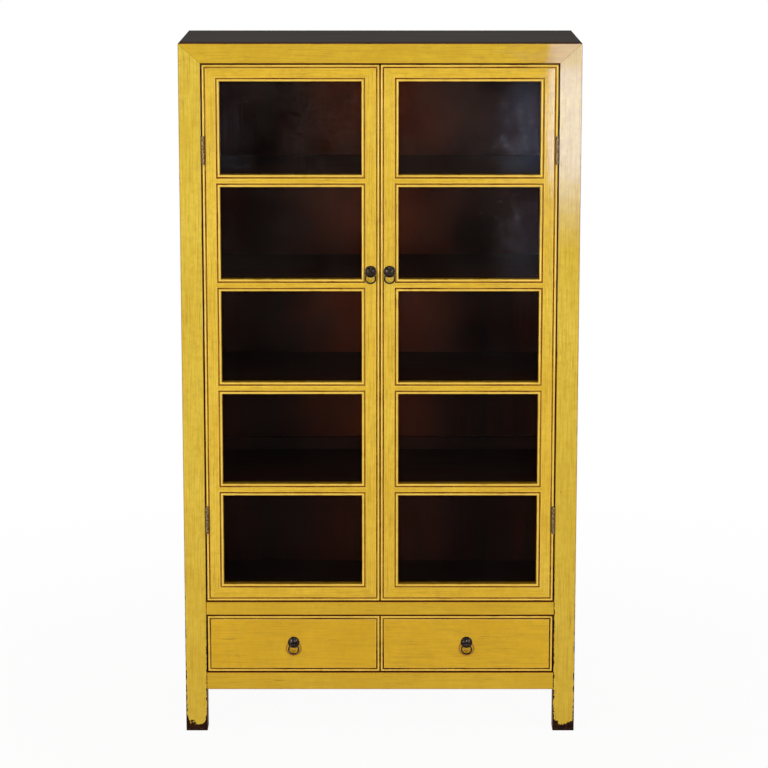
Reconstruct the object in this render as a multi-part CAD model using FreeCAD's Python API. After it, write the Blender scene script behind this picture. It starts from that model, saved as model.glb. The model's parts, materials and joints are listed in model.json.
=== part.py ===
import FreeCAD
import Part
import math
import os

# Lacquered cabinet: a mitred post-and-rail carcass, two glazed doors over two drawers.
# Millimetres. X runs across the front, Y from the front to the back, Z up from the floor.
# The origin is on the floor, under the middle of the whole cabinet with its ring pulls.

# Overall size of the carcass
WIDTH = 1018.0
HEIGHT = 1800.0
DEPTH = 450.0

# Posts and rails
POST_WIDTH = 56.0
POST_DEPTH = 50.0
LEG_HEIGHT = 113.0
TOP_RAIL_HEIGHT = 50.0
MIDDLE_RAIL_HEIGHT = 35.5
BOTTOM_RAIL_HEIGHT = 46.0
FRONT_RAIL_DEPTH = 40.0
SIDE_RAIL_THICKNESS = 34.0
BACK_RAIL_THICKNESS = 30.0
BACK_CROSS_RAIL_HEIGHT = 34.0

# Mortise and tenon joints
TENON_THICKNESS = 12.0
TENON_SHOULDER = 9.0
CROSS_TENON_LENGTH = 30.0
SIDE_TENON_LENGTH = 20.0
RUNNER_TENON_LENGTH = 12.0

# Hidden tenons of the three-way mitre, as shares of the corner block
# measured from its outer side, its outer face and its top
MITRE_TENON_ACROSS = ((0.35, 0.95), (0.30, 0.60), (0.70, 0.90))
MITRE_TENON_ALONG = ((0.15, 0.45), (0.25, 0.95), (0.50, 0.65))

# Boards
PANEL_THICKNESS = 12.0
PANEL_RECESS = 5.0
PANEL_TONGUE = 8.0
GROOVE_SLACK = 1.0
TOP_BOARD_THICKNESS = 16.0
TOP_TONGUE_THICKNESS = 6.0
TOP_TONGUE_DEPTH = 5.0
TOP_SEAM = 0.3
FLOOR_THICKNESS = 15.0
FLOOR_REBATE = 8.0
SHELF_COUNT = 4
SHELF_THICKNESS = 16.0
SHELF_SETBACK = 8.0
BOARD_CLEARANCE = 0.5
CLEAT_SIZE = 20.0

# Doors
GAP = 3.2
DOOR_THICKNESS = 30.0
HINGE_STILE_WIDTH = 43.5
MEETING_STILE_WIDTH = 45.2
DOOR_TOP_RAIL = 42.0
DOOR_BOTTOM_RAIL = 44.5
MUNTIN_HEIGHT = 31.0
MUNTIN_TENON = 26.0
MUNTIN_TENON_HEIGHT = 10.0
DOOR_TENON_SETBACK = 7.0
DOOR_TENON_THICKNESS = 7.0
DOOR_TENON_SHOULDER = 9.0
GLASS_SETBACK = 15.0
GLASS_THICKNESS = 3.0
GLASS_CLEARANCE = 0.6
REBATE = 7.0
STOP_LENGTH = 400.0
STOP_HEIGHT = 14.0
STOP_DEPTH = 15.0
STOP_CLEARANCE = 0.5

# Beads and grooves worked along the edges of the doors and drawer fronts
OUTER_BEAD = 5.4
INNER_BEAD = 6.0
BEAD_CROWN = 0.3
BEAD_SIDE = 2.0
QUIRK_WIDTH = 3.2
QUIRK_DEPTH = 3.0
FIELD_ROUND = 1.6
CUT_OVERRUN = 1.0

# Drawers
DRAWER_FRONT_HEIGHT = 149.0
DRAWER_FRONT_THICKNESS = 24.0
DRAWER_WALL = 12.0
DRAWER_END_CLEARANCE = 51.0
DRAWER_SIDE_HEIGHT = 126.0
DRAWER_BOTTOM_THICKNESS = 8.0
DRAWER_BOTTOM_LIFT = 10.0
DRAWER_GROOVE = 6.0
DRAWER_LET_IN = 8.0
DRAWER_POST_CLEARANCE = 4.5
DRAWER_DIVIDER_CLEARANCE = 1.5
RUNNING_CLEARANCE = 0.3
DIVIDER_THICKNESS = 18.0
DIVIDER_SETBACK = 4.0
RUNNER_WIDTH = 40.0
RUNNER_HEIGHT = 28.0
RUNNER_POST_CLEARANCE = 2.0
RUNNER_SHOULDER = 8.0

# Butt hinges with a loose-leaf pin, two to a door
HINGE_HEIGHT = 70.0
HINGE_INSET = 181.0
BARREL_RADIUS = 4.4
BARREL_FORWARD = 2.0
BARREL_POST_CLEARANCE = 0.3
BARREL_NOTCH_CLEARANCE = 0.5
KNUCKLE_COUNT = 5
KNUCKLE_GAP = 0.3
PIN_RADIUS = 2.0
PIN_FIXED_CLEARANCE = 0.02
PIN_RUNNING_CLEARANCE = 0.05
PIN_HEAD_RADIUS = 3.0
PIN_HEAD_HEIGHT = 1.2
LEAF_THICKNESS = 1.3
LEAF_DEPTH = 22.0
SCREW_RADIUS = 1.4
SCREW_HEAD_RADIUS = 2.6
SCREW_LENGTH = 15.0
SCREW_SETBACK = 13.0
SCREW_END_DISTANCE = 12.0
SCREWS_PER_LEAF = 3

# Ring pulls
DOOR_PULL_RISE = 20.0
DRAWER_PULL_RISE = 4.0
BOSS_RADIUS = 15.2
BOSS_RIM = 1.6
BOSS_HEIGHT = 4.5
EYE_RADIUS = 4.6
EYE_THICKNESS = 3.4
EYE_DROP = 3.6
RING_RADIUS = 12.8
WIRE_RADIUS = 2.1
WIRE_PLAY = 0.45
EYE_BOSS_GAP = 0.1
SHANK_RADIUS = 2.0
SHANK_CLEARANCE = 0.05
CLINCH_WIDTH = 16.0
CLINCH_HEIGHT = 5.0
CLINCH_THICKNESS = 1.6

# Places worked out from the sizes above
RING_STANDOFF = BOSS_HEIGHT + EYE_BOSS_GAP + EYE_RADIUS
PULL_REACH = RING_STANDOFF + EYE_RADIUS
X_OUT = WIDTH / 2
X_IN = X_OUT - POST_WIDTH
Y_FRONT = (PULL_REACH - DEPTH) / 2
Y_BACK = Y_FRONT + DEPTH
Y_FRONT_INNER = Y_FRONT + POST_DEPTH
Y_BACK_INNER = Y_BACK - POST_DEPTH
Z_BOTTOM_RAIL = LEG_HEIGHT
Z_DRAWER_FLOOR = Z_BOTTOM_RAIL + BOTTOM_RAIL_HEIGHT
Z_MIDDLE_RAIL = Z_DRAWER_FLOOR + DRAWER_FRONT_HEIGHT + 2 * GAP
Z_DOOR_SILL = Z_MIDDLE_RAIL + MIDDLE_RAIL_HEIGHT
Z_TOP_RAIL = HEIGHT - TOP_RAIL_HEIGHT
PANEL_OUTER_X = X_OUT - PANEL_RECESS
PANEL_INNER_X = PANEL_OUTER_X - PANEL_THICKNESS
BACK_PANEL_REAR = Y_BACK - PANEL_RECESS
BACK_PANEL_FRONT = BACK_PANEL_REAR - PANEL_THICKNESS
SIDE_RAIL_X = X_OUT - SIDE_RAIL_THICKNESS
GROOVE_REACH = PANEL_TONGUE + GROOVE_SLACK

DOOR_X0 = -X_IN + GAP
DOOR_X1 = -GAP / 2
DOOR_Z0 = Z_DOOR_SILL + GAP
DOOR_Z1 = Z_TOP_RAIL - GAP
DOOR_BACK = Y_FRONT + DOOR_THICKNESS
PANE_X0 = DOOR_X0 + HINGE_STILE_WIDTH
PANE_X1 = DOOR_X1 - MEETING_STILE_WIDTH
PANE_COUNT = SHELF_COUNT + 1
PANE_FIELD_Z0 = DOOR_Z0 + DOOR_BOTTOM_RAIL
PANE_FIELD_Z1 = DOOR_Z1 - DOOR_TOP_RAIL
PANE_HEIGHT = (PANE_FIELD_Z1 - PANE_FIELD_Z0 - SHELF_COUNT * MUNTIN_HEIGHT) / PANE_COUNT
PANE_STEP = PANE_HEIGHT + MUNTIN_HEIGHT

DRAWER_Z0 = Z_DRAWER_FLOOR + GAP
DRAWER_Z1 = DRAWER_Z0 + DRAWER_FRONT_HEIGHT
DRAWER_SIDE_Z0 = Z_DRAWER_FLOOR + RUNNING_CLEARANCE
DRAWER_BOTTOM_Z0 = DRAWER_SIDE_Z0 + DRAWER_BOTTOM_LIFT
DRAWER_BOTTOM_Z1 = DRAWER_BOTTOM_Z0 + DRAWER_BOTTOM_THICKNESS
DRAWER_BOX_X0 = -X_IN + DRAWER_POST_CLEARANCE
DRAWER_BOX_X1 = -DIVIDER_THICKNESS / 2 - DRAWER_DIVIDER_CLEARANCE
DRAWER_FACE_BACK = Y_FRONT + DRAWER_FRONT_THICKNESS
DRAWER_END = Y_BACK - BACK_RAIL_THICKNESS - DRAWER_END_CLEARANCE

HINGE_X = -X_IN + BARREL_POST_CLEARANCE + BARREL_RADIUS
HINGE_Y = Y_FRONT - BARREL_FORWARD
KNUCKLE_LENGTH = (HINGE_HEIGHT - (KNUCKLE_COUNT - 1) * KNUCKLE_GAP) / KNUCKLE_COUNT
HINGE_Z = (DOOR_Z0 + HINGE_INSET, DOOR_Z1 - HINGE_INSET - HINGE_HEIGHT)

DOOR_PULL_X = DOOR_X1 - MEETING_STILE_WIDTH / 2
DRAWER_PULL_X = (DOOR_X0 + DOOR_X1) / 2
RING_Y = Y_FRONT - RING_STANDOFF


def vec(x, y, z):
    return FreeCAD.Vector(x, y, z)


def box(x0, x1, y0, y1, z0, z1):
    return Part.makeBox(x1 - x0, y1 - y0, z1 - z0, vec(x0, y0, z0))


def prism(points, y0, y1):
    """A flat outline in X and Z, given its thickness from y0 to y1."""
    corners = [vec(x, y0, z) for x, z in points]
    outline = Part.makePolygon(corners + corners[:1])
    return Part.Face(outline).extrude(vec(0, y1 - y0, 0))


def pyramid(base, apex):
    """A four-sided pyramid on the four base points."""
    faces = [Part.Face(Part.makePolygon(base + base[:1]))]
    for start, end in zip(base, base[1:] + base[:1]):
        faces.append(Part.Face(Part.makePolygon([start, end, apex, start])))
    solid = Part.Solid(Part.Shell(faces))
    return solid if solid.Volume > 0 else solid.reversed()


def mirrored(shape):
    return shape.mirror(vec(0, 0, 0), vec(1, 0, 0))


def both(shape):
    """The left piece and its mirror image on the right."""
    return [shape, mirrored(shape)]


def both_sides(solids):
    """All left pieces, then their mirror images."""
    return solids + [mirrored(solid) for solid in solids]


def joined(first, others):
    return first.fuse(others).removeSplitter()


def save(name, solids):
    shape = Part.makeCompound(solids) if isinstance(solids, list) else solids
    shape.exportStep("parts/" + name + ".step")


def save_pair(name, solids):
    """Writes a left-hand piece and its mirrored right-hand partner."""
    save(name, solids)
    solids = solids if isinstance(solids, list) else [solids]
    save(name.replace("left", "right"), [mirrored(solid) for solid in solids])


def post_ends(front):
    """The near and far faces of a post."""
    near = Y_FRONT if front else Y_BACK_INNER
    return near, near + POST_DEPTH


def outer_face(front):
    """The face of a post that shows on the front or the back."""
    return Y_FRONT if front else Y_BACK


def corner_box(front, shares):
    """A box in the left top corner block, placed by shares of the block's three sizes."""
    outer = outer_face(front)
    inward = POST_DEPTH if front else -POST_DEPTH
    (a0, a1), (b0, b1), (c0, c1) = shares
    y0, y1 = sorted((outer + inward * b0, outer + inward * b1))
    x0 = -X_OUT + a0 * POST_WIDTH
    x1 = -X_OUT + a1 * POST_WIDTH
    return box(x0, x1, y0, y1, HEIGHT - c1 * TOP_RAIL_HEIGHT, HEIGHT - c0 * TOP_RAIL_HEIGHT)


def left_post(front):
    """A post from floor to top, with its share of the three-way mitre and its mortises."""
    near, far = post_ends(front)
    shaft = box(-X_OUT, -X_IN, near, far, 0, Z_TOP_RAIL)
    head = [
        vec(-X_OUT, near, Z_TOP_RAIL),
        vec(-X_IN, near, Z_TOP_RAIL),
        vec(-X_IN, far, Z_TOP_RAIL),
        vec(-X_OUT, far, Z_TOP_RAIL),
    ]
    post = joined(shaft, [pyramid(head, vec(-X_OUT, outer_face(front), HEIGHT))])
    return post.cut([corner_box(front, MITRE_TENON_ACROSS), corner_box(front, MITRE_TENON_ALONG)])


def top_rail_across(front):
    """The front or back rail of the top, mitred and tenoned at both ends."""
    near, far = post_ends(front)
    bar = box(-X_IN, X_IN, near, far, Z_TOP_RAIL, HEIGHT)
    end = [
        vec(-X_IN, near, Z_TOP_RAIL),
        vec(-X_IN, far, Z_TOP_RAIL),
        vec(-X_IN, far, HEIGHT),
        vec(-X_IN, near, HEIGHT),
    ]
    mitre = pyramid(end, vec(-X_OUT, outer_face(front), HEIGHT))
    return joined(bar, both(mitre) + both(corner_box(front, MITRE_TENON_ACROSS)))


def top_rail_along():
    """The left rail of the top, mitred and tenoned to the front and back posts."""
    bar = box(-X_OUT, -X_IN, Y_FRONT_INNER, Y_BACK_INNER, Z_TOP_RAIL, HEIGHT)
    ends = []
    for front, y in ((True, Y_FRONT_INNER), (False, Y_BACK_INNER)):
        end = [
            vec(-X_OUT, y, Z_TOP_RAIL),
            vec(-X_IN, y, Z_TOP_RAIL),
            vec(-X_IN, y, HEIGHT),
            vec(-X_OUT, y, HEIGHT),
        ]
        ends.append(pyramid(end, vec(-X_OUT, outer_face(front), HEIGHT)))
        ends.append(corner_box(front, MITRE_TENON_ALONG))
    return joined(bar, ends)


def cross_rail(y0, thickness, z0, height):
    """A rail between the left and right posts, and the tenon that runs through it."""
    bar = box(-X_IN, X_IN, y0, y0 + thickness, z0, z0 + height)
    reach = X_IN + CROSS_TENON_LENGTH
    tenon_y = y0 + (thickness - TENON_THICKNESS) / 2
    tenon_z = z0 + TENON_SHOULDER
    tenon_height = height - 2 * TENON_SHOULDER
    tenon = box(-reach, reach, tenon_y, tenon_y + TENON_THICKNESS, tenon_z, tenon_z + tenon_height)
    return joined(bar, [tenon]), tenon


def side_rail(z0, height):
    """A left rail between the front and back posts, and the tenon that runs through it."""
    bar = box(-X_OUT, -SIDE_RAIL_X, Y_FRONT_INNER, Y_BACK_INNER, z0, z0 + height)
    tenon_x = -X_OUT + (SIDE_RAIL_THICKNESS - TENON_THICKNESS) / 2
    tenon = box(
        tenon_x,
        tenon_x + TENON_THICKNESS,
        Y_FRONT_INNER - SIDE_TENON_LENGTH,
        Y_BACK_INNER + SIDE_TENON_LENGTH,
        z0 + TENON_SHOULDER,
        z0 + height - TENON_SHOULDER,
    )
    return joined(bar, [tenon]), tenon


def side_board(z0, z1, reach):
    """A left side panel that reaches past the frame's opening into its grooves."""
    y0 = Y_FRONT_INNER - reach
    y1 = Y_BACK_INNER + reach
    return box(-PANEL_OUTER_X, -PANEL_INNER_X, y0, y1, z0 - reach, z1 + reach)


def back_board(z0, z1, reach):
    """A back panel that reaches past the frame's opening into its grooves."""
    return box(-X_IN - reach, X_IN + reach, BACK_PANEL_FRONT, BACK_PANEL_REAR, z0 - reach, z1 + reach)


def top_board():
    """The top board, flush with its frame, and the groove for its tongue."""
    y0 = Y_FRONT_INNER
    y1 = Y_BACK_INNER
    seam = TOP_SEAM
    field = box(-X_IN + seam, X_IN - seam, y0 + seam, y1 - seam, HEIGHT - TOP_BOARD_THICKNESS, HEIGHT)
    tongue_z1 = HEIGHT - TOP_TONGUE_DEPTH
    tongue_z0 = tongue_z1 - TOP_TONGUE_THICKNESS

    def rim(reach):
        return box(-X_IN - reach, X_IN + reach, y0 - reach, y1 + reach, tongue_z0, tongue_z1)

    return joined(field, [rim(PANEL_TONGUE)]), rim(GROOVE_REACH)


def post_room():
    """The space that boards leave free round the four posts."""
    c = BOARD_CLEARANCE
    room = []
    for front in (True, False):
        near, far = post_ends(front)
        room += both(box(-X_OUT - c, -X_IN + c, near - c, far + c, 0, HEIGHT))
    return room


def muntin_top(index):
    """Upper edge of a muntin, counted from 0 at the top, which is also a shelf's upper face."""
    return PANE_FIELD_Z1 - PANE_HEIGHT - index * PANE_STEP


def shelf(index):
    half = PANEL_INNER_X - BOARD_CLEARANCE
    top = muntin_top(index)
    board = box(
        -half,
        half,
        DOOR_BACK + SHELF_SETBACK,
        BACK_PANEL_FRONT - BOARD_CLEARANCE,
        top - SHELF_THICKNESS,
        top,
    )
    return board.cut(post_room())


def left_cleat(index):
    top = muntin_top(index) - SHELF_THICKNESS
    x0 = -PANEL_INNER_X
    return box(x0, x0 + CLEAT_SIZE, Y_FRONT_INNER, Y_BACK_INNER, top - CLEAT_SIZE, top)


def cabinet_floor():
    """The floor board, let into the upper edges of the middle rails on all four sides."""
    half = SIDE_RAIL_X + FLOOR_REBATE
    y0 = Y_FRONT + FRONT_RAIL_DEPTH - FLOOR_REBATE
    y1 = Y_BACK - BACK_RAIL_THICKNESS + FLOOR_REBATE
    board = box(-half, half, y0, y1, Z_DOOR_SILL - FLOOR_THICKNESS, Z_DOOR_SILL)
    return board.cut(post_room())


def runner(x0):
    """A strip that carries the drawer sides, and the tenon that runs through it."""
    x1 = x0 + RUNNER_WIDTH
    y0 = Y_FRONT + FRONT_RAIL_DEPTH
    y1 = Y_BACK - BACK_RAIL_THICKNESS
    z0 = Z_DRAWER_FLOOR - RUNNER_HEIGHT
    tenon = box(
        x0,
        x1,
        y0 - RUNNER_TENON_LENGTH,
        y1 + RUNNER_TENON_LENGTH,
        z0 + RUNNER_SHOULDER,
        Z_DRAWER_FLOOR - RUNNER_SHOULDER,
    )
    return joined(box(x0, x1, y0, y1, z0, Z_DRAWER_FLOOR), [tenon]), tenon


def divider():
    half = DIVIDER_THICKNESS / 2
    y0 = DRAWER_FACE_BACK + DIVIDER_SETBACK
    return box(-half, half, y0, Y_BACK - BACK_RAIL_THICKNESS, Z_DRAWER_FLOOR, Z_MIDDLE_RAIL)


def door_stop():
    half = STOP_LENGTH / 2
    y0 = DOOR_BACK + STOP_CLEARANCE
    return box(-half, half, y0, y0 + STOP_DEPTH, Z_TOP_RAIL - STOP_HEIGHT, Z_TOP_RAIL)


def rim_sides(x0, x1, z0, z1):
    """The four sides of a rectangle: first corner, last corner, run and outward directions."""
    a, b, c, d = vec(x0, 0, z1), vec(x1, 0, z1), vec(x1, 0, z0), vec(x0, 0, z0)
    return [
        (a, b, vec(1, 0, 0), vec(0, 0, 1)),
        (b, c, vec(0, 0, -1), vec(1, 0, 0)),
        (c, d, vec(-1, 0, 0), vec(0, 0, -1)),
        (d, a, vec(0, 0, 1), vec(-1, 0, 0)),
    ]


def mitred_strip(side, near, far, y0, y1, inward):
    """One mitred strip of a rectangular rim, from near to far off the rectangle's edge."""
    first, last, run, out = side
    grow = -1 if inward else 1
    across = out * grow
    points = [
        first - run * (grow * near) + across * near,
        last + run * (grow * near) + across * near,
        last + run * (grow * far) + across * far,
        first - run * (grow * far) + across * far,
    ]
    return prism([(p.x, p.z) for p in points], y0, y1)


def bead_profile(origin, across, bead):
    """What a moulding plane takes off an edge: beside the bead, in the quirk, at the field's edge."""
    into = vec(0, 1, 0)

    def at(u, v):
        return origin + across * u + into * v

    quirk = bead + QUIRK_WIDTH
    field = quirk + FIELD_ROUND
    bend = FIELD_ROUND * (1 - 0.5 ** 0.5)
    over = -CUT_OVERRUN
    edges = [
        Part.makeLine(at(over, over), at(field, over)),
        Part.makeLine(at(field, over), at(field, 0)),
        Part.Arc(at(field, 0), at(quirk + bend, bend), at(quirk, FIELD_ROUND)).toShape(),
        Part.makeLine(at(quirk, FIELD_ROUND), at(quirk, QUIRK_DEPTH)),
        Part.makeLine(at(quirk, QUIRK_DEPTH), at(bead, QUIRK_DEPTH)),
        Part.makeLine(at(bead, QUIRK_DEPTH), at(bead, BEAD_SIDE)),
        Part.Arc(at(bead, BEAD_SIDE), at(bead / 2, BEAD_CROWN), at(0, BEAD_SIDE)).toShape(),
        Part.makeLine(at(0, BEAD_SIDE), at(over, BEAD_SIDE)),
        Part.makeLine(at(over, BEAD_SIDE), at(over, over)),
    ]
    return Part.Face(Part.Wire(edges))


def bead_cutters(x0, x1, z0, z1, bead, inward):
    """Four mitred cutters that work a bead along a rectangle's edge on the front face."""
    reach = bead + QUIRK_WIDTH + FIELD_ROUND
    depth = QUIRK_DEPTH + CUT_OVERRUN
    cutters = []
    for side in rim_sides(x0, x1, z0, z1):
        first, last, run, out = side
        across = out * (-1 if inward else 1)
        start = first - run * (reach + CUT_OVERRUN) + vec(0, Y_FRONT, 0)
        length = first.distanceToPoint(last) + 2 * (reach + CUT_OVERRUN)
        bar = bead_profile(start, across, bead).extrude(run * length)
        wedge = mitred_strip(side, -CUT_OVERRUN, reach, Y_FRONT - depth, Y_FRONT + depth, inward)
        cutters.append(bar.common(wedge))
    return cutters


def panes():
    """Lower and upper edges of the pane openings, from the top one down."""
    tops = [PANE_FIELD_Z1 - index * PANE_STEP for index in range(PANE_COUNT)]
    return [(top - PANE_HEIGHT, top) for top in tops]


def pane_box(z0, z1, reach, y0, y1):
    return box(PANE_X0 - reach, PANE_X1 + reach, y0, y1, z0 - reach, z1 + reach)


def door_tenon(x0, x1, z0, z1):
    y0 = Y_FRONT + DOOR_TENON_SETBACK
    return box(x0, x1, y0, y0 + DOOR_TENON_THICKNESS, z0, z1)


def left_muntin(index):
    """A glazing bar with pointed shoulders, and the tenon that runs through it."""
    z1 = muntin_top(index)
    z0 = z1 - MUNTIN_HEIGHT
    middle = (z0 + z1) / 2
    point = MUNTIN_HEIGHT / 2
    outline = [
        (PANE_X0, z0),
        (PANE_X0 - point, middle),
        (PANE_X0, z1),
        (PANE_X1, z1),
        (PANE_X1 + point, middle),
        (PANE_X1, z0),
    ]
    bar = prism(outline, Y_FRONT, DOOR_BACK)
    half = MUNTIN_TENON_HEIGHT / 2
    tenon = door_tenon(PANE_X0 - MUNTIN_TENON, PANE_X1 + MUNTIN_TENON, middle - half, middle + half)
    return joined(bar, [tenon])


def mitre_line(corner, pane_corner):
    """A corner joint's line: at 45 degrees through both mouldings, straight between them."""
    right = math.copysign(1, pane_corner[0] - corner[0])
    up = math.copysign(1, pane_corner[1] - corner[1])
    outer = OUTER_BEAD + QUIRK_WIDTH + FIELD_ROUND
    inner = INNER_BEAD + QUIRK_WIDTH + FIELD_ROUND
    outer_end = (corner[0] + right * outer, corner[1] + up * outer)
    inner_end = (pane_corner[0] - right * inner, pane_corner[1] - up * inner)
    return [corner, outer_end, inner_end, pane_corner]


def door_members():
    """Stiles and rails of the left door, mitred at the corners, with the rails' tenons."""
    x0, x1, z0, z1 = DOOR_X0, DOOR_X1, DOOR_Z0, DOOR_Z1
    a, b, low, high = PANE_X0, PANE_X1, PANE_FIELD_Z0, PANE_FIELD_Z1
    low_hinge = mitre_line((x0, z0), (a, low))
    low_meeting = mitre_line((x1, z0), (b, low))
    high_hinge = mitre_line((x0, z1), (a, high))
    high_meeting = mitre_line((x1, z1), (b, high))
    hinge_stile = prism(high_hinge + low_hinge[::-1], Y_FRONT, DOOR_BACK)
    meeting_stile = prism(low_meeting + high_meeting[::-1], Y_FRONT, DOOR_BACK)
    top_rail = prism(high_meeting + high_hinge[::-1], Y_FRONT, DOOR_BACK)
    bottom_rail = prism(low_hinge + low_meeting[::-1], Y_FRONT, DOOR_BACK)
    s = DOOR_TENON_SHOULDER
    upper = door_tenon(x0 + s, x1 - s, high + s, z1 - s)
    lower = door_tenon(x0 + s, x1 - s, z0 + s, low - s)
    muntins = [left_muntin(index) for index in range(SHELF_COUNT)]
    mortises = [upper, lower] + muntins
    return {
        "hinge_stile": [hinge_stile.cut(mortises)],
        "meeting_stile": [meeting_stile.cut(mortises)],
        "top_rail": [joined(top_rail, [upper])],
        "bottom_rail": [joined(bottom_rail, [lower])],
        "muntins": muntins,
    }


def door_cutters():
    """Everything that is worked on the door's face and back after it is put together."""
    cutters = bead_cutters(DOOR_X0, DOOR_X1, DOOR_Z0, DOOR_Z1, OUTER_BEAD, True)
    for z0, z1 in panes():
        cutters += bead_cutters(PANE_X0, PANE_X1, z0, z1, INNER_BEAD, False)
        rebate_y = Y_FRONT + GLASS_SETBACK
        cutters.append(pane_box(z0, z1, REBATE, rebate_y, DOOR_BACK + CUT_OVERRUN))
    return cutters


def glass_panes():
    y0 = Y_FRONT + GLASS_SETBACK
    return [pane_box(z0, z1, REBATE - GLASS_CLEARANCE, y0, y0 + GLASS_THICKNESS) for z0, z1 in panes()]


def glazing_beads():
    """Mitred strips that hold each pane from behind."""
    y0 = Y_FRONT + GLASS_SETBACK + GLASS_THICKNESS
    strips = []
    for z0, z1 in panes():
        for side in rim_sides(PANE_X0, PANE_X1, z0, z1):
            strips.append(mitred_strip(side, 0, REBATE, y0, DOOR_BACK, False))
    return strips


def barrel(radius, z0, z1):
    return Part.makeCylinder(radius, z1 - z0, vec(HINGE_X, HINGE_Y, z0))


def knuckle_levels(hinge_z, first):
    """Heights of every second knuckle, which belong to one leaf."""
    pitch = KNUCKLE_LENGTH + KNUCKLE_GAP
    starts = [hinge_z + index * pitch for index in range(first, KNUCKLE_COUNT, 2)]
    return [(start, start + KNUCKLE_LENGTH) for start in starts]


def hinge_leaf(hinge_z, x0, own, other, clearance):
    """A leaf with its own knuckles, cut away round the knuckles of the other leaf."""
    x1 = x0 + LEAF_THICKNESS
    plate = box(x0, x1, HINGE_Y, Y_FRONT + LEAF_DEPTH, hinge_z, hinge_z + HINGE_HEIGHT)
    room = [
        barrel(BARREL_RADIUS + KNUCKLE_GAP, z0 - KNUCKLE_GAP, z1 + KNUCKLE_GAP)
        for z0, z1 in knuckle_levels(hinge_z, other)
    ]
    knuckles = [barrel(BARREL_RADIUS, z0, z1) for z0, z1 in knuckle_levels(hinge_z, own)]
    bore = barrel(PIN_RADIUS + clearance, hinge_z, hinge_z + HINGE_HEIGHT)
    return joined(plate.cut(room), knuckles).cut(bore)


def barrel_notches():
    """Room in the hinge stile's edge for the barrels and the pin heads."""
    radius = BARREL_RADIUS + BARREL_NOTCH_CLEARANCE
    below = PIN_HEAD_HEIGHT
    above = HINGE_HEIGHT + PIN_HEAD_HEIGHT
    return [barrel(radius, z - below, z + above) for z in HINGE_Z]


def hinge_pin(hinge_z):
    """A pin that runs through all five knuckles, with a low head at each end."""
    top = hinge_z + HINGE_HEIGHT
    heads = [
        barrel(PIN_HEAD_RADIUS, top, top + PIN_HEAD_HEIGHT),
        barrel(PIN_HEAD_RADIUS, hinge_z - PIN_HEAD_HEIGHT, hinge_z),
    ]
    return joined(barrel(PIN_RADIUS, hinge_z, top), heads)


def leaf_screws(hinge_z, face_x, direction):
    """Countersunk screws with their heads flush in the leaf's face."""
    spread = HINGE_HEIGHT - 2 * SCREW_END_DISTANCE
    along = vec(direction, 0, 0)
    screws = []
    for index in range(SCREWS_PER_LEAF):
        z = hinge_z + SCREW_END_DISTANCE + spread * index / (SCREWS_PER_LEAF - 1)
        head_at = vec(face_x, Y_FRONT + SCREW_SETBACK, z)
        sink = SCREW_HEAD_RADIUS - SCREW_RADIUS
        head = Part.makeCone(SCREW_HEAD_RADIUS, SCREW_RADIUS, sink, head_at, along)
        shank = Part.makeCylinder(SCREW_RADIUS, SCREW_LENGTH, head_at, along)
        screws.append(joined(head, [shank]))
    return screws


def boss(x, z):
    """The domed backplate of a ring pull, bored for the shank."""
    bow = BOSS_HEIGHT - (BOSS_HEIGHT - BOSS_RIM) / 4

    def at(r, rise):
        return vec(x + r, Y_FRONT - rise, z)

    edges = [
        Part.makeLine(at(0, 0), at(BOSS_RADIUS, 0)),
        Part.makeLine(at(BOSS_RADIUS, 0), at(BOSS_RADIUS, BOSS_RIM)),
        Part.Arc(at(BOSS_RADIUS, BOSS_RIM), at(BOSS_RADIUS / 2, bow), at(0, BOSS_HEIGHT)).toShape(),
        Part.makeLine(at(0, BOSS_HEIGHT), at(0, 0)),
    ]
    dome = Part.Face(Part.Wire(edges)).revolve(vec(x, Y_FRONT, z), vec(0, 1, 0), 360)
    return dome.cut(shank(x, z, SHANK_RADIUS + SHANK_CLEARANCE, CUT_OVERRUN))


def shank(x, z, radius, back):
    """The round shank of a split pin, from the ring's plane to a depth behind the face."""
    return Part.makeCylinder(radius, RING_STANDOFF + back, vec(x, RING_Y, z), vec(0, 1, 0))


def eye_pin(x, z, wood):
    """A split pin: an eye for the ring, a shank through the wood, its ends bent over behind."""
    eye_z = z - EYE_DROP
    half = EYE_THICKNESS / 2
    eye = Part.makeCylinder(EYE_RADIUS, EYE_THICKNESS, vec(x - half, RING_Y, eye_z), vec(1, 0, 0))
    hole_at = vec(x - 2 * EYE_RADIUS, RING_Y, eye_z)
    hole = Part.makeCylinder(WIRE_RADIUS + WIRE_PLAY, 4 * EYE_RADIUS, hole_at, vec(1, 0, 0))
    back = Y_FRONT + wood
    clinch = box(
        x - CLINCH_WIDTH / 2,
        x + CLINCH_WIDTH / 2,
        back,
        back + CLINCH_THICKNESS,
        z - CLINCH_HEIGHT / 2,
        z + CLINCH_HEIGHT / 2,
    )
    return joined(shank(x, z, SHANK_RADIUS, wood), [eye, clinch]).cut(hole)


def pull_ring(x, z):
    centre = vec(x, RING_Y, z - EYE_DROP - RING_RADIUS)
    return Part.makeTorus(RING_RADIUS, WIRE_RADIUS, centre, vec(0, 1, 0))


def shank_hole(x, z, wood):
    return shank(x, z, SHANK_RADIUS + SHANK_CLEARANCE, wood + CUT_OVERRUN)


def drawer_sides():
    """The two sides of the left drawer, let into the back of its front."""
    y0 = DRAWER_FACE_BACK - DRAWER_LET_IN
    z1 = DRAWER_SIDE_Z0 + DRAWER_SIDE_HEIGHT
    starts = (DRAWER_BOX_X0, DRAWER_BOX_X1 - DRAWER_WALL)
    return [box(x, x + DRAWER_WALL, y0, DRAWER_END, DRAWER_SIDE_Z0, z1) for x in starts]


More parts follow.
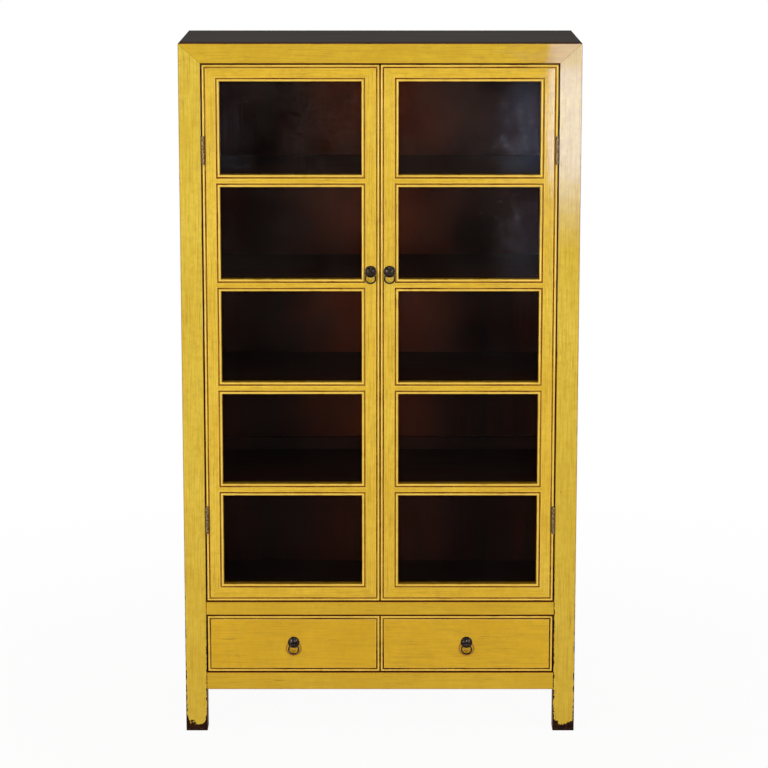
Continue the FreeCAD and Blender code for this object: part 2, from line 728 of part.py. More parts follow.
def drawer_back():
    y0 = DRAWER_END - DRAWER_WALL
    x0 = DRAWER_BOX_X0 + DRAWER_WALL
    x1 = DRAWER_BOX_X1 - DRAWER_WALL
    return box(x0, x1, y0, DRAWER_END, DRAWER_BOTTOM_Z1, DRAWER_SIDE_Z0 + DRAWER_SIDE_HEIGHT)


def drawer_bottom():
    """The bottom board, grooved into the front and the sides and passing under the back."""
    x0 = DRAWER_BOX_X0 + DRAWER_WALL - DRAWER_GROOVE
    x1 = DRAWER_BOX_X1 - DRAWER_WALL + DRAWER_GROOVE
    y0 = DRAWER_FACE_BACK - DRAWER_GROOVE
    return box(x0, x1, y0, DRAWER_END, DRAWER_BOTTOM_Z0, DRAWER_BOTTOM_Z1)


def drawer_front():
    front = box(DOOR_X0, DOOR_X1, Y_FRONT, DRAWER_FACE_BACK, DRAWER_Z0, DRAWER_Z1)
    tools = bead_cutters(DOOR_X0, DOOR_X1, DRAWER_Z0, DRAWER_Z1, OUTER_BEAD, True)
    tools += drawer_sides() + [drawer_bottom()]
    tools.append(shank_hole(DRAWER_PULL_X, drawer_pull_z(), DRAWER_FRONT_THICKNESS))
    return front.cut(tools)


def drawer_pull_z():
    return (DRAWER_Z0 + DRAWER_Z1) / 2 + DRAWER_PULL_RISE


def door_pull_z():
    """The door pulls sit a little above the second muntin."""
    return muntin_top(1) + DOOR_PULL_RISE


def rail_levels():
    """Lower edge and height of the back rails: bottom, middle, and one just above the lowest shelf."""
    return [
        (Z_BOTTOM_RAIL, BOTTOM_RAIL_HEIGHT),
        (Z_MIDDLE_RAIL, MIDDLE_RAIL_HEIGHT),
        (muntin_top(SHELF_COUNT - 1) + BOARD_CLEARANCE, BACK_CROSS_RAIL_HEIGHT),
    ]


def front_rails():
    """Bottom and middle rails of the front, each with its tenon."""
    return [cross_rail(Y_FRONT, FRONT_RAIL_DEPTH, z0, height) for z0, height in rail_levels()[:2]]


def side_rails():
    """Bottom and middle rails of the left side, each with its tenon."""
    return [side_rail(z0, height) for z0, height in rail_levels()[:2]]


def back_rails():
    """The three rails of the back, each with its tenon."""
    y0 = Y_BACK - BACK_RAIL_THICKNESS
    return [cross_rail(y0, BACK_RAIL_THICKNESS, z0, height) for z0, height in rail_levels()]


def runners():
    """Left, right and middle drawer runners, each with its tenon."""
    left, tenon = runner(-X_IN + RUNNER_POST_CLEARANCE)
    right = (mirrored(left), mirrored(tenon))
    return [(left, tenon), right, runner(-RUNNER_WIDTH / 2)]


def bars(rails):
    return [bar for bar, tenon in rails]


def tenons(rails):
    return [tenon for bar, tenon in rails]


def side_boards(reach):
    """Lower and upper left side panels, or the grooves for them."""
    spans = [(Z_DRAWER_FLOOR, Z_MIDDLE_RAIL), (Z_DOOR_SILL, Z_TOP_RAIL)]
    return [side_board(z0, z1, reach) for z0, z1 in spans]


def back_boards(reach):
    """The three back panels, or the grooves for them."""
    cross_z0, cross_height = rail_levels()[2]
    spans = [
        (Z_DRAWER_FLOOR, Z_MIDDLE_RAIL),
        (Z_DOOR_SILL, cross_z0),
        (cross_z0 + cross_height, Z_TOP_RAIL),
    ]
    return [back_board(z0, z1, reach) for z0, z1 in spans]


def hinge_screws(face_x, direction):
    """The screws of one side's two leaves."""
    screws = []
    for z in HINGE_Z:
        screws += leaf_screws(z, face_x, direction)
    return screws


def frame_screws():
    return hinge_screws(-X_IN + LEAF_THICKNESS, -1)


def write_posts():
    """Posts with the mortises and grooves of every rail and panel that meets them."""
    side_cuts = tenons(side_rails()) + side_boards(GROOVE_REACH)
    front_cuts = tenons(front_rails()) + side_cuts + frame_screws()
    back_cuts = tenons(back_rails()) + side_cuts + back_boards(GROOVE_REACH)
    save_pair("post_front_left", left_post(True).cut(front_cuts))
    save_pair("post_back_left", left_post(False).cut(back_cuts))


def write_top():
    """The mitred top frame and the board that it holds."""
    board, groove = top_board()
    save("top_rail_front", top_rail_across(True).cut(groove))
    save("top_rail_back", top_rail_across(False).cut([groove] + back_boards(GROOVE_REACH)))
    save_pair("top_rail_left", top_rail_along().cut([groove] + side_boards(GROOVE_REACH)))
    save("top_panel", board)


def write_rails():
    """Front, side and back rails, cut for the floor, the panels and the drawer runners."""
    floor = cabinet_floor()
    runner_tenons = tenons(runners())
    bottom, middle = bars(front_rails())
    save("middle_rail_front", middle.cut(floor))
    save("bottom_rail_front", bottom.cut(runner_tenons))
    side_cuts = [floor] + side_boards(GROOVE_REACH)
    save("side_rails", both_sides([rail.cut(side_cuts) for rail in bars(side_rails())]))
    back_cuts = [floor] + runner_tenons + back_boards(GROOVE_REACH)
    save("back_rails", [rail.cut(back_cuts) for rail in bars(back_rails())])


def write_boards():
    """Panels, floor, shelves and the cleats that carry them."""
    save("side_panels", both_sides(side_boards(PANEL_TONGUE)))
    save("back_panels", back_boards(PANEL_TONGUE))
    save("cabinet_floor", cabinet_floor())
    cleats = []
    for index in range(SHELF_COUNT):
        save("shelf_" + str(index + 1), shelf(index))
        cleats += both(left_cleat(index))
    save("shelf_cleats", cleats)
    save("drawer_runners", bars(runners()))
    save("drawer_divider", divider())
    save("door_stop", door_stop())


def write_frame_hinges():
    """The hinge leaves on the posts, their screws, and the pins of all four hinges."""
    screws = frame_screws()
    leaves = [hinge_leaf(z, -X_IN, 0, 1, PIN_FIXED_CLEARANCE) for z in HINGE_Z]
    save("hinge_leaves_frame", both_sides([leaf.cut(screws) for leaf in leaves]))
    save("hinge_screws_frame", both_sides(screws))
    save("hinge_pins", both_sides([hinge_pin(z) for z in HINGE_Z]))


def write_doors():
    """Writes the left door piece by piece, and the right door as its mirror image."""
    cutters = door_cutters()
    z_pull = door_pull_z()
    leaf_x = DOOR_X0 - LEAF_THICKNESS
    leaves = [hinge_leaf(z, leaf_x, 1, 0, PIN_RUNNING_CLEARANCE) for z in HINGE_Z]
    screws = hinge_screws(leaf_x, 1)
    own_cuts = {
        "hinge_stile": barrel_notches() + screws,
        "meeting_stile": [shank_hole(DOOR_PULL_X, z_pull, DOOR_THICKNESS)],
    }
    for name, members in door_members().items():
        tools = cutters + own_cuts.get(name, [])
        save_pair("door_left_" + name, [member.cut(tools) for member in members])
    save_pair("door_left_glass", glass_panes())
    save_pair("door_left_glazing_beads", glazing_beads())
    save_pair("door_left_hinge_leaves", [leaf.cut(screws) for leaf in leaves])
    save_pair("door_left_hinge_screws", screws)
    pin = eye_pin(DOOR_PULL_X, z_pull, DOOR_THICKNESS)
    save_pair("door_left_pull_plate", [boss(DOOR_PULL_X, z_pull), pin])
    save_pair("door_left_pull_ring", pull_ring(DOOR_PULL_X, z_pull))


def write_drawers():
    """Writes the left drawer piece by piece, and the right drawer as its mirror image."""
    z_pull = drawer_pull_z()
    bottom = drawer_bottom()
    walls = [side.cut(bottom) for side in drawer_sides()] + [drawer_back()]
    save_pair("drawer_left_front", drawer_front())
    save_pair("drawer_left_box", walls)
    save_pair("drawer_left_bottom", bottom)
    pin = eye_pin(DRAWER_PULL_X, z_pull, DRAWER_FRONT_THICKNESS)
    save_pair("drawer_left_pull_plate", [boss(DRAWER_PULL_X, z_pull), pin])
    save_pair("drawer_left_pull_ring", pull_ring(DRAWER_PULL_X, z_pull))


os.makedirs("parts", exist_ok=True)
write_posts()
write_top()
write_rails()
write_boards()
write_frame_hinges()
write_doors()
write_drawers()
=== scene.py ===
# %% [markdown]
# # A yellow lacquered cabinet
# The cabinet is joined from posts and rails, with two glazed doors over two drawers. Its solid
# model already has every size and every joint, so this lesson only dresses it: it eases the
# sharp edges, gives each face its finish, builds the small ironwork again with more detail, and
# sets up a plain studio. Lengths are in metres, and the solid model never moves.

import json
import math

import bmesh
import bpy
from mathutils import Matrix, Vector
from mathutils.bvhtree import BVHTree

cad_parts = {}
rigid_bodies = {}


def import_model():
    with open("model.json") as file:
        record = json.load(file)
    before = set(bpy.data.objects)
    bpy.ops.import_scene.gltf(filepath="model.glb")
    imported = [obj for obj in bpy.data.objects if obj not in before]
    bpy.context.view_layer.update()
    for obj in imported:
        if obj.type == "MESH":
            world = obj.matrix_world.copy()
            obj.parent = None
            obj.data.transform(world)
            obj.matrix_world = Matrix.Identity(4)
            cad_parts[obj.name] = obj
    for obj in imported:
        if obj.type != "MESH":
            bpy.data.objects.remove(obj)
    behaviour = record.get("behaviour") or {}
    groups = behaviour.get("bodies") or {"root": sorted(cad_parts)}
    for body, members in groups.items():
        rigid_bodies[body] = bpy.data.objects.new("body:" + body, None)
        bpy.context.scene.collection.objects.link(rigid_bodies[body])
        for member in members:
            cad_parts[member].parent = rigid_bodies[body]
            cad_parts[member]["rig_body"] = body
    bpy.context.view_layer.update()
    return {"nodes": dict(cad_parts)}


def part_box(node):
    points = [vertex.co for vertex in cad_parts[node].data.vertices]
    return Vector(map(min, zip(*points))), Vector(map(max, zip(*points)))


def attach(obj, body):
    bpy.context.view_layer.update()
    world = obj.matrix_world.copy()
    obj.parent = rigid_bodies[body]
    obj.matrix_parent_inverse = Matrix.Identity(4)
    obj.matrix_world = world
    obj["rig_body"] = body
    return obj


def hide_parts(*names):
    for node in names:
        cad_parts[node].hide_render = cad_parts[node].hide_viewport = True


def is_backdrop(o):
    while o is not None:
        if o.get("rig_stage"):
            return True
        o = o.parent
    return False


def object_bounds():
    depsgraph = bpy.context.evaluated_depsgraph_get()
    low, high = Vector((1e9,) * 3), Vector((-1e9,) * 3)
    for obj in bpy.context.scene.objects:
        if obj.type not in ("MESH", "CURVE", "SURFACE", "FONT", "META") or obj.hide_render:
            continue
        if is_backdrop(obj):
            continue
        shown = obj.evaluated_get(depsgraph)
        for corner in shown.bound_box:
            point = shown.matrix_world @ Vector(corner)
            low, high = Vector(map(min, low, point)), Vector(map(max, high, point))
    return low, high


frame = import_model()
nodes = frame["nodes"]
scene = bpy.context.scene
MM = 0.001

# %% [markdown]
# ## Where things are
# A few faces of the carcass are needed again and again: the front face, the outer sides, the
# top. They are read from the solid model, so they stay right if its sizes change.

# %% Read the main faces
post_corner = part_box("post_front_left")[0]
FRONT = post_corner.y
SIDE = -post_corner.x
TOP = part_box("top_panel")[1].z
print("front face at", round(FRONT, 4), "top at", round(TOP, 3))

# %% [markdown]
# ## The camera
# The photograph shows the cabinet from a little above, straight in front. The camera's distance,
# height and tilt are fitted to the corner points of the front. The small sideways shift puts the
# cabinet as far left of the middle as it is in the picture.

# %% Make the camera
EYE_DISTANCE = 7.413
EYE_HEIGHT = 2.377
EYE_TILT = 11.056
EYE_LENS = 137.81
SIDE_SHIFT = 0.0051
view = bpy.data.objects.new("view", bpy.data.cameras.new("view"))
view.data.lens = EYE_LENS
view.data.shift_x = SIDE_SHIFT
view.location = (0, FRONT - EYE_DISTANCE, EYE_HEIGHT)
view.rotation_euler = (math.radians(90 - EYE_TILT), 0, 0)
scene.collection.objects.link(view)
scene.camera = view
scene.view_settings.view_transform = "Standard"
print("camera", round(EYE_DISTANCE, 2), "m in front of the doors")

# %% [markdown]
# ## Colours and nodes
# Every colour is written as a hex value, as a paint chart would give it, and turned into the
# linear light that the shaders work in. One small function adds a node, sets it and links it.


# %% Two helpers for materials
def colour(code):
    """A hex sRGB colour as linear red, green, blue and alpha."""
    parts = [int(code[i : i + 2], 16) / 255 for i in (1, 3, 5)]
    linear = [p / 12.92 if p <= 0.04045 else ((p + 0.055) / 1.055) ** 2.4 for p in parts]
    return (*linear, 1.0)


def add(tree, kind, feeds, **settings):
    """Adds a node. Feeds are values or nodes, by input name or as a list in their order."""
    made = tree.nodes.new("ShaderNode" + kind)
    for name, value in settings.items():
        setattr(made, name, value)
    open_inputs = [socket for socket in made.inputs if socket.enabled]
    for key, value in feeds.items() if isinstance(feeds, dict) else enumerate(feeds):
        named = [s for s in open_inputs if s.name == key]
        socket = named[0] if named else open_inputs[key]
        if isinstance(value, bpy.types.Node):
            value = next(output for output in value.outputs if output.enabled)
        if isinstance(value, bpy.types.NodeSocket):
            tree.links.new(value, socket)
        else:
            socket.default_value = value
    return made


print("yellow is", [round(v, 3) for v in colour("#D6B43C")[:3]], "in linear light")

# %% [markdown]
# ## The studio
# The floor is a plain pale sheet that carries on to the horizon. Close to the cabinet it keeps a
# trace of the soft shadow; further away, and in the world behind it, it is simply white.
# Reflections see the same white, so glass and metal show the room that the camera shows.

# %% Floor and world
FLOOR_REACH = 60.0
FLOOR_DROP = 0.2 * MM
SHADOW_END, ALL_WHITE = 0.7, 2.6
WHITE_NEAR = 0.95


def seen_directly(tree):
    """1 for rays from the camera, from gloss and through glass, 0 for light that bounces."""
    rays = add(tree, "LightPath", []).outputs
    seen = add(tree, "Math", [rays["Is Camera Ray"], rays["Is Glossy Ray"]], operation="MAXIMUM")
    return add(tree, "Math", [seen, rays["Is Transmission Ray"]], operation="MAXIMUM")


def floor_paint():
    material = bpy.data.materials.new("white studio floor")
    material.use_nodes = True
    tree = material.node_tree
    tree.nodes.clear()
    place = add(tree, "TexCoord", []).outputs["Object"]
    away = add(tree, "VectorMath", [place], operation="LENGTH").outputs["Value"]
    whiten = add(tree, "MapRange", [away, SHADOW_END, ALL_WHITE, WHITE_NEAR, 1.0])
    share = add(tree, "Math", [whiten, seen_directly(tree)], operation="MULTIPLY")
    lit = add(tree, "BsdfDiffuse", {"Color": colour("#F4F4F4")})
    white = add(tree, "Emission", {"Color": colour("#FFFFFF")})
    mixed = add(tree, "MixShader", [share, lit, white])
    add(tree, "OutputMaterial", {"Surface": mixed})
    return material


floor_bm = bmesh.new()
bmesh.ops.create_grid(floor_bm, x_segments=1, y_segments=1, size=FLOOR_REACH)
bmesh.ops.translate(floor_bm, verts=floor_bm.verts, vec=(0, 0, -FLOOR_DROP))
floor_mesh = bpy.data.meshes.new("studio_floor")
floor_bm.to_mesh(floor_mesh)
floor_bm.free()
floor = bpy.data.objects.new("studio_floor", floor_mesh)
floor_mesh.materials.append(floor_paint())
scene.collection.objects.link(floor)
floor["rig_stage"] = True

AMBIENT = 0.38
world = bpy.data.worlds.new("studio")
world.use_nodes = True
scene.world = world
world.node_tree.nodes.clear()
room = add(world.node_tree, "Background", {"Color": colour("#FFFFFF"), "Strength": AMBIENT})
backdrop = add(world.node_tree, "Background", {"Color": colour("#FFFFFF"), "Strength": 1.0})
both = add(world.node_tree, "MixShader", [seen_directly(world.node_tree), room, backdrop])
add(world.node_tree, "OutputWorld", {"Surface": both})
print("floor reaches", FLOOR_REACH, "m, ambient light", AMBIENT)

# %% [markdown]
# ## The lamps
# Two tall softboxes stand left and right of the camera, and a weak bank hangs above. The upright
# beads of the doors mirror the softboxes as fine bright lines. A lamp's brightness is given by
# its face: 1 is as bright as white paper.


# %% Softboxes and a bank
def softbox(name, place, target, size, brightness, tint):
    """A rectangular lamp. Blender spreads its watts over four times its area."""
    lamp = bpy.data.lights.new(name, "AREA")
    lamp.shape = "RECTANGLE"
    lamp.size, lamp.size_y = size
    lamp.energy = 4 * size[0] * size[1] * brightness
    lamp.color = colour(tint)[:3]
    holder = bpy.data.objects.new(name, lamp)
    holder.location = place
    aim = Vector(target) - Vector(place)
    holder.rotation_euler = aim.to_track_quat("-Z", "Y").to_euler()
    holder.visible_camera = False
    scene.collection.objects.link(holder)
    return holder


SOFTBOX, BANK = (0.9, 2.1), (2.6, 1.6)
DOOR_MIDDLE = (0, FRONT, 1.05)
WARM_WHITE = "#FFF6E8"
softbox("left softbox", (-2.7, -4.3, 1.1), DOOR_MIDDLE, SOFTBOX, 11.8, WARM_WHITE)
softbox("right softbox", (2.9, -4.3, 1.1), DOOR_MIDDLE, SOFTBOX, 8.8, WARM_WHITE)
softbox("overhead bank", (-0.3, -2.6, 4.2), (0, 0, 1.2), BANK, 1.2, "#FFFFFF")

# %% [markdown]
# A window behind the camera shows in the lacquer as a cool, pale sheen at the top of the right
# post. The front is a flat mirror, so the place of the window follows from where its image should
# be: the camera's ray to that point, thrown back by the front, is followed most of the way home.
# Smaller lamps are placed the same way for the upper panes, whose uneven glass breaks their
# images up.


# %% Windows that the right post and the panes mirror
WAY_HOME = 0.9


def thrown_back(x, z, share):
    """Where the ray mirrored at a point of the front has come to after a share of the way."""
    return Vector((x * (1 + share), FRONT - EYE_DISTANCE * share, z - (EYE_HEIGHT - z) * share))


def window(name, image_low, image_high, brightness, tint):
    """A lamp whose mirror image on the front spans two corner points."""
    low, high = (thrown_back(x, z, WAY_HOME) for x, z in (image_low, image_high))
    middle = (low + high) / 2
    straight = middle + Vector((0, 1, 0))
    return softbox(name, middle, straight, (high.x - low.x, high.z - low.z), brightness, tint)


SKY, PANE_SKY, ROOM = "#A4BEFF", "#D2DEFF", "#FFCBC2"
LEFT_JAMB, RIGHT_JAMB = 0.428, 0.570
HEAD, CROSSBAR, BLIND_TOP = 1.90, 1.74, 1.49
SLAT, SLANT = 0.04, 0.007
window("window head", (LEFT_JAMB, CROSSBAR), (RIGHT_JAMB, HEAD), 14.0, SKY)
window("window", (LEFT_JAMB, BLIND_TOP), (RIGHT_JAMB, CROSSBAR), 23.5, SKY)
for step, brightness in enumerate((20.0, 14.0, 9.0, 5.0, 2.0)):
    left, top = LEFT_JAMB + SLANT * step, BLIND_TOP - SLAT * step
    window("blind", (left, top - SLAT), (RIGHT_JAMB, top), brightness, SKY)
window("window on the right pane", (0.335, 1.485), (0.392, 1.67), 34.0, PANE_SKY)
window("window below it", (0.340, 1.20), (0.392, 1.40), 14.0, PANE_SKY)
window("window on the left pane", (-0.395, 1.46), (-0.360, 1.66), 11.0, PANE_SKY)
window("room on the right pane", (0.09, 1.53), (0.30, 1.68), 7.0, ROOM)
print("window images on the right post and the upper panes")

# %% [markdown]
# ## From solid to finished piece
# The solid model's edges are razor sharp, but a plane and a hundred years of dusting leave every
# free edge slightly round. Each wooden piece is a copy of its solid, merged board by board so
# that boards which only touch stay apart. Only edges that stand free are rounded: where two
# pieces meet in a joint, that would open a groove that the real joint does not have. There,
# lacquer cracks in a hairline instead. A search tree over all solids tells which edges are free.

# %% A search tree over every solid
tree_points, tree_faces, tree_owners = [], [], []
for name, solid in nodes.items():
    start = len(tree_points)
    tree_points += [vertex.co.copy() for vertex in solid.data.vertices]
    for polygon in solid.data.polygons:
        tree_faces.append([start + index for index in polygon.vertices])
        tree_owners.append(name)
neighbours = BVHTree.FromPolygons(tree_points, tree_faces)
print("faces in the search tree:", len(tree_faces))


# %% Copy a solid, ease its free edges and open its joints by a hair
SHARP = math.radians(40)
HAIRLINE = 0.22 * MM
SAME_POINT = 0.001 * MM
FLAT = math.radians(0.5)
PROBE_OUT, PROBE_REACH = 0.4 * MM, 0.6 * MM
FLUSH = 0.05 * MM


def loose_boards(bm):
    """The vertices of each board. Its triangles follow each other until no edge is left open."""
    found, board, open_edges = [], [], set()
    for face in bm.faces:
        board += face.verts
        ends = [tuple(round(c / MM, 3) for c in v.co) for v in face.verts]
        open_edges ^= {frozenset((ends[i - 1], ends[i])) for i in range(3)}
        if not open_edges:
            found.append(list(dict.fromkeys(board)))
            board = []
    return found


def merged_copy(node):
    """A bmesh of a solid, its triangles joined board by board and its flat faces made whole."""
    bm = bmesh.new()
    bm.from_mesh(nodes[node].data)
    for board in loose_boards(bm):
        bmesh.ops.remove_doubles(bm, verts=board, dist=SAME_POINT)
    bmesh.ops.dissolve_limit(bm, angle_limit=FLAT, verts=bm.verts, edges=bm.edges)
    return bm


def stands_free(edge, node):
    """True if no other solid touches this edge from outside."""
    outward = (edge.link_faces[0].normal + edge.link_faces[1].normal).normalized()
    probe = (edge.verts[0].co + edge.verts[1].co) / 2 + outward * PROBE_OUT
    close = neighbours.find_nearest_range(probe, PROBE_REACH)
    return all(tree_owners[index] == node for _, _, index, _ in close)


def corners(bm, shortest):
    """The sharp outer edges of a mesh that are long enough to be rounded."""
    sharp = [e for e in bm.edges if e.is_manifold and e.calc_face_angle_signed() > SHARP]
    return [e for e in sharp if e.calc_length() > shortest]


def round_off(bm, edges, width, steps):
    made = bmesh.ops.bevel(
        bm,
        geom=edges,
        offset=width,
        offset_type="OFFSET",
        segments=steps,
        profile=0.5,
        affect="EDGES",
        material=-1,
    )
    return made["faces"]


def ease_edges(bm, node, arris, behind=-1.0):
    """Rounds the free edges that lie further back than `behind`."""
    free = [e for e in corners(bm, 4 * arris) if stands_free(e, node)]
    chosen = [e for e in free if min(v.co.y for v in e.verts) > behind]
    round_off(bm, chosen, arris, 2)
    return len(chosen)


def open_joints(bm, node):
    """Opens the joints on the front face by a hair, and returns the walls of the cracks."""
    flush = [e for e in corners(bm, 2 * MM) if max(v.co.y for v in e.verts) < FRONT + FLUSH]
    return round_off(bm, [e for e in flush if not stands_free(e, node)], HAIRLINE, 1)


# %% [markdown]
# Wear follows the edges of each board, so every point of a board notes how far it is from the
# low and the high side of that board. Those six distances change evenly over a flat face, which
# is what a mesh attribute stores exactly, however large the face is. On moulded pieces a second
# note marks the crests of the beads, where a pale highlight is painted, partly as the polishing of
# hands and dusters.


# %% Note the distance to each board's sides
def boards(bm):
    """The separate boards of a mesh, as lists of vertices."""
    left = set(bm.verts)
    found = []
    while left:
        reached = [left.pop()]
        board = []
        while reached:
            vertex = reached.pop()
            board.append(vertex)
            around = {edge.other_vert(vertex) for edge in vertex.link_edges} & left
            left -= around
            reached += around
        found.append(board)
    return found


def note_sides(bm):
    from_low = bm.verts.layers.float_vector.new("from_low")
    to_high = bm.verts.layers.float_vector.new("to_high")
    for board in boards(bm):
        low = Vector([min(v.co[i] for v in board) for i in range(3)])
        high = Vector([max(v.co[i] for v in board) for i in range(3)])
        for vertex in board:
            vertex[from_low] = vertex.co - low
            vertex[to_high] = high - vertex.co


# %% Note the crests of the mouldings
CREST_DEPTH = 2.0 * MM
FIELD_WIDTH = 6.0 * MM


def spans(face):
    """Width and height of a face."""
    return [max(v.co[i] for v in face.verts) - min(v.co[i] for v in face.verts) for i in (0, 2)]


def is_field(face):
    """True for the wide flat faces between the mouldings."""
    return face.normal.y < -0.999 and min(spans(face)) > FIELD_WIDTH


def note_crests(bm):
    """1 on the crest of a bead or of a field's rounded edge, falling to 0 at its foot."""
    crest = bm.verts.layers.float.new("crest")
    on_field = {v for face in bm.faces if is_field(face) for v in face.verts}
    for vertex in bm.verts:
        depth = vertex.co.y - FRONT
        if vertex not in on_field:
            vertex[crest] = max(0.0, 1 - depth / CREST_DEPTH)


# %% Make the finished object
CREASE = math.radians(32)


def crease(bm):
    """Keeps shading apart at corners and round flat front faces, so that these mirror straight."""
    for edge in bm.edges:
        corner = edge.is_manifold and edge.calc_face_angle() > CREASE
        edge.smooth = not corner and not any(is_field(face) for face in edge.link_faces)
    for face in bm.faces:
        face.smooth = True


def finish_piece(bm, node, finishes):
    """Makes the finished object of a node, which hides the solid and rides on its body."""
    name = node + "_finished"
    mesh = bpy.data.meshes.new(name)
    crease(bm)
    bm.to_mesh(mesh)
    bm.free()
    for finish in finishes:
        mesh.materials.append(finish)
    piece = bpy.data.objects.new(name, mesh)
    scene.collection.objects.link(piece)
    shading = piece.modifiers.new("even shading", "WEIGHTED_NORMAL")
    shading.keep_sharp = True
    shading.weight = 100
    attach(piece, nodes[node]["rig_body"])
    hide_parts(node)
    return piece


print("helpers ready: edges, joints, wear and finished objects")

# %% [markdown]
# ## Yellow lacquer
# Several coats of yellow lacquer were brushed over a dark undercoat, along each board. It keeps
# fine brush streaks and lets the wood's open grain show as thin dark lines. A red-brown glazing
# coat was wiped into every moulding, and its colour is painted as shade on the deeper reveals and
# sills. The crests of the beads carry a painted pale highlight, partly from the polishing of
# hands, the coat has painted shade towards the bottom, and the edges are rubbed through to the
# undercoat. The lacquer is highly polished, so roughness is low and the relief of the brush marks
# is only a few thousandths of a millimetre. Patterns are sized in millimetres on Object
# coordinates.


# %% Patterns that follow the wood
ALONG_X, ALONG_Y, UPRIGHT = 0, 1, 2


def new_finish(name):
    material = bpy.data.materials.new(name)
    material.use_nodes = True
    tree = material.node_tree
    tree.nodes.clear()
    return material, tree, add(tree, "TexCoord", []).outputs["Object"]


def streaks(tree, place, grain, width, length, detail=3.0):
    """Noise drawn out along one axis: marks so wide across the grain and so long with it."""
    scale = [1 / width] * 3
    scale[grain] = 1 / length
    drawn_out = add(tree, "Mapping", {"Vector": place, "Scale": scale})
    noise = {"Vector": drawn_out, "Scale": 1.0, "Detail": detail, "Roughness": 0.6}
    return add(tree, "TexNoise", noise)


def marks(tree, place, size, detail=4.0):
    """Marks of about this size, the same in every direction."""
    return streaks(tree, place, ALONG_X, size, size, detail)


def edge_distance(tree):
    """Distance to the nearest edge of the board: the middle one of the three side distances."""
    from_low = add(tree, "Attribute", [], attribute_name="from_low").outputs["Vector"]
    to_high = add(tree, "Attribute", [], attribute_name="to_high").outputs["Vector"]
    nearest = add(tree, "VectorMath", [from_low, to_high], operation="MINIMUM")
    x, y, z = add(tree, "SeparateXYZ", [nearest]).outputs
    smaller = add(tree, "Math", [x, y], operation="MINIMUM")
    larger = add(tree, "Math", [x, y], operation="MAXIMUM")
    second = add(tree, "Math", [larger, z], operation="MINIMUM")
    return add(tree, "Math", [smaller, second], operation="MAXIMUM")


# %% Brushed yellow coats
BRUSH_WIDTH, BRUSH_LENGTH, BRUSH_DEPTH = 2.6 * MM, 120 * MM, 0.002 * MM
PORE_WIDTH, PORE_LENGTH, PORE_DEPTH = 1.6 * MM, 60 * MM, 0.02 * MM
CLOUD_SIZE, MOTTLE_SIZE, PORE_PATCH = 240 * MM, 14 * MM, 90 * MM
LOW_SHADE_TONE, FURROWED, MOTTLED, PORE = "#BC900E", "#AD8616", "#B8931C", "#7A5816"


def brushed_coats(tree, place, grain, tones):
    """Colour of the sound lacquer, its brush marks, and its relief in metres."""
    height = add(tree, "SeparateXYZ", [place]).outputs[2]
    cloud = add(tree, "MapRange", [marks(tree, place, CLOUD_SIZE, 3.0), 0.34, 0.66])
    coat = add(tree, "Mix", [cloud, colour(tones[0]), colour(tones[1])], data_type="RGBA")
    # Painted shade: the coat turns darker and more orange towards the bottom, where less light
    # falls.
    low_shade = add(tree, "MapRange", [height, 0.9, 0.0, 0.0, 0.35])
    coat = add(tree, "Mix", [low_shade, coat, colour(LOW_SHADE_TONE)], data_type="RGBA")
    brush = streaks(tree, place, grain, BRUSH_WIDTH, BRUSH_LENGTH, 4.0)
    furrow = add(tree, "MapRange", [brush, 0.54, 0.34, 0.0, 0.55])
    coat = add(tree, "Mix", [furrow, coat, colour(FURROWED)], data_type="RGBA")
    mottle = add(tree, "MapRange", [marks(tree, place, MOTTLE_SIZE), 0.42, 0.68, 0.0, 0.4])
    coat = add(tree, "Mix", [mottle, coat, colour(MOTTLED)], data_type="RGBA")
    open_grain = streaks(tree, place, grain, PORE_WIDTH, PORE_LENGTH, 2.0)
    line = add(tree, "MapRange", [open_grain, 0.60, 0.72])
    here = add(tree, "MapRange", [marks(tree, place, PORE_PATCH, 2.0), 0.46, 0.62, 0.0, 0.75])
    pores = add(tree, "Math", [line, here], operation="MULTIPLY")
    coat = add(tree, "Mix", [pores, coat, colour(PORE)], data_type="RGBA")
    raised = add(tree, "Math", [brush, BRUSH_DEPTH], operation="MULTIPLY")
    relief = add(tree, "Math", [pores, -PORE_DEPTH, raised], operation="MULTIPLY_ADD")
    return coat, brush, relief


# %% Bruises, glaze and rubbed edges
BRUISE_SPACING = 36 * MM


def bruises(tree, place):
    """Small dark dots in some of the cells, each of its own size."""
    cells = add(tree, "TexVoronoi", {"Vector": place, "Scale": 1 / BRUISE_SPACING})
    chance = add(tree, "SeparateColor", [cells.outputs["Color"]]).outputs[0]
    radius = add(tree, "MapRange", [chance, 0.84, 1.0, 0.0, 0.05])
    rim = add(tree, "Math", [radius, cells.outputs["Distance"]], operation="SUBTRACT")
    return add(tree, "MapRange", [rim, -0.004, 0.02])


def glaze_and_reveal_shade(tree, place):
    """Share by depth: glazing in the quirks, in places wiped out, and painted shade deeper down.
    """
    along = add(tree, "SeparateXYZ", [place]).outputs[1]
    depth = add(tree, "Math", [along, FRONT], operation="SUBTRACT")
    wiped = marks(tree, place, 30 * MM, 6.0)
    level = add(tree, "MapRange", [wiped, 0.36, 0.66, 0.9 * MM, 2.7 * MM])
    below = add(tree, "Math", [depth, level], operation="SUBTRACT")
    filled = add(tree, "MapRange", [below, -0.6 * MM, 0.6 * MM])
    thick = add(tree, "MapRange", [marks(tree, place, 120 * MM, 3.0), 0.38, 0.62, 0.65, 1.0])
    # Painted shade: faces deeper than the quirks, such as reveals and sills, get 55 to 100 percent
    # of it.
    deeper_shade = add(tree, "MapRange", [depth, 3.4 * MM, 6 * MM, 1.0, 0.55])
    share = add(tree, "Math", [filled, thick], operation="MULTIPLY")
    return add(tree, "Math", [share, deeper_shade], operation="MULTIPLY")


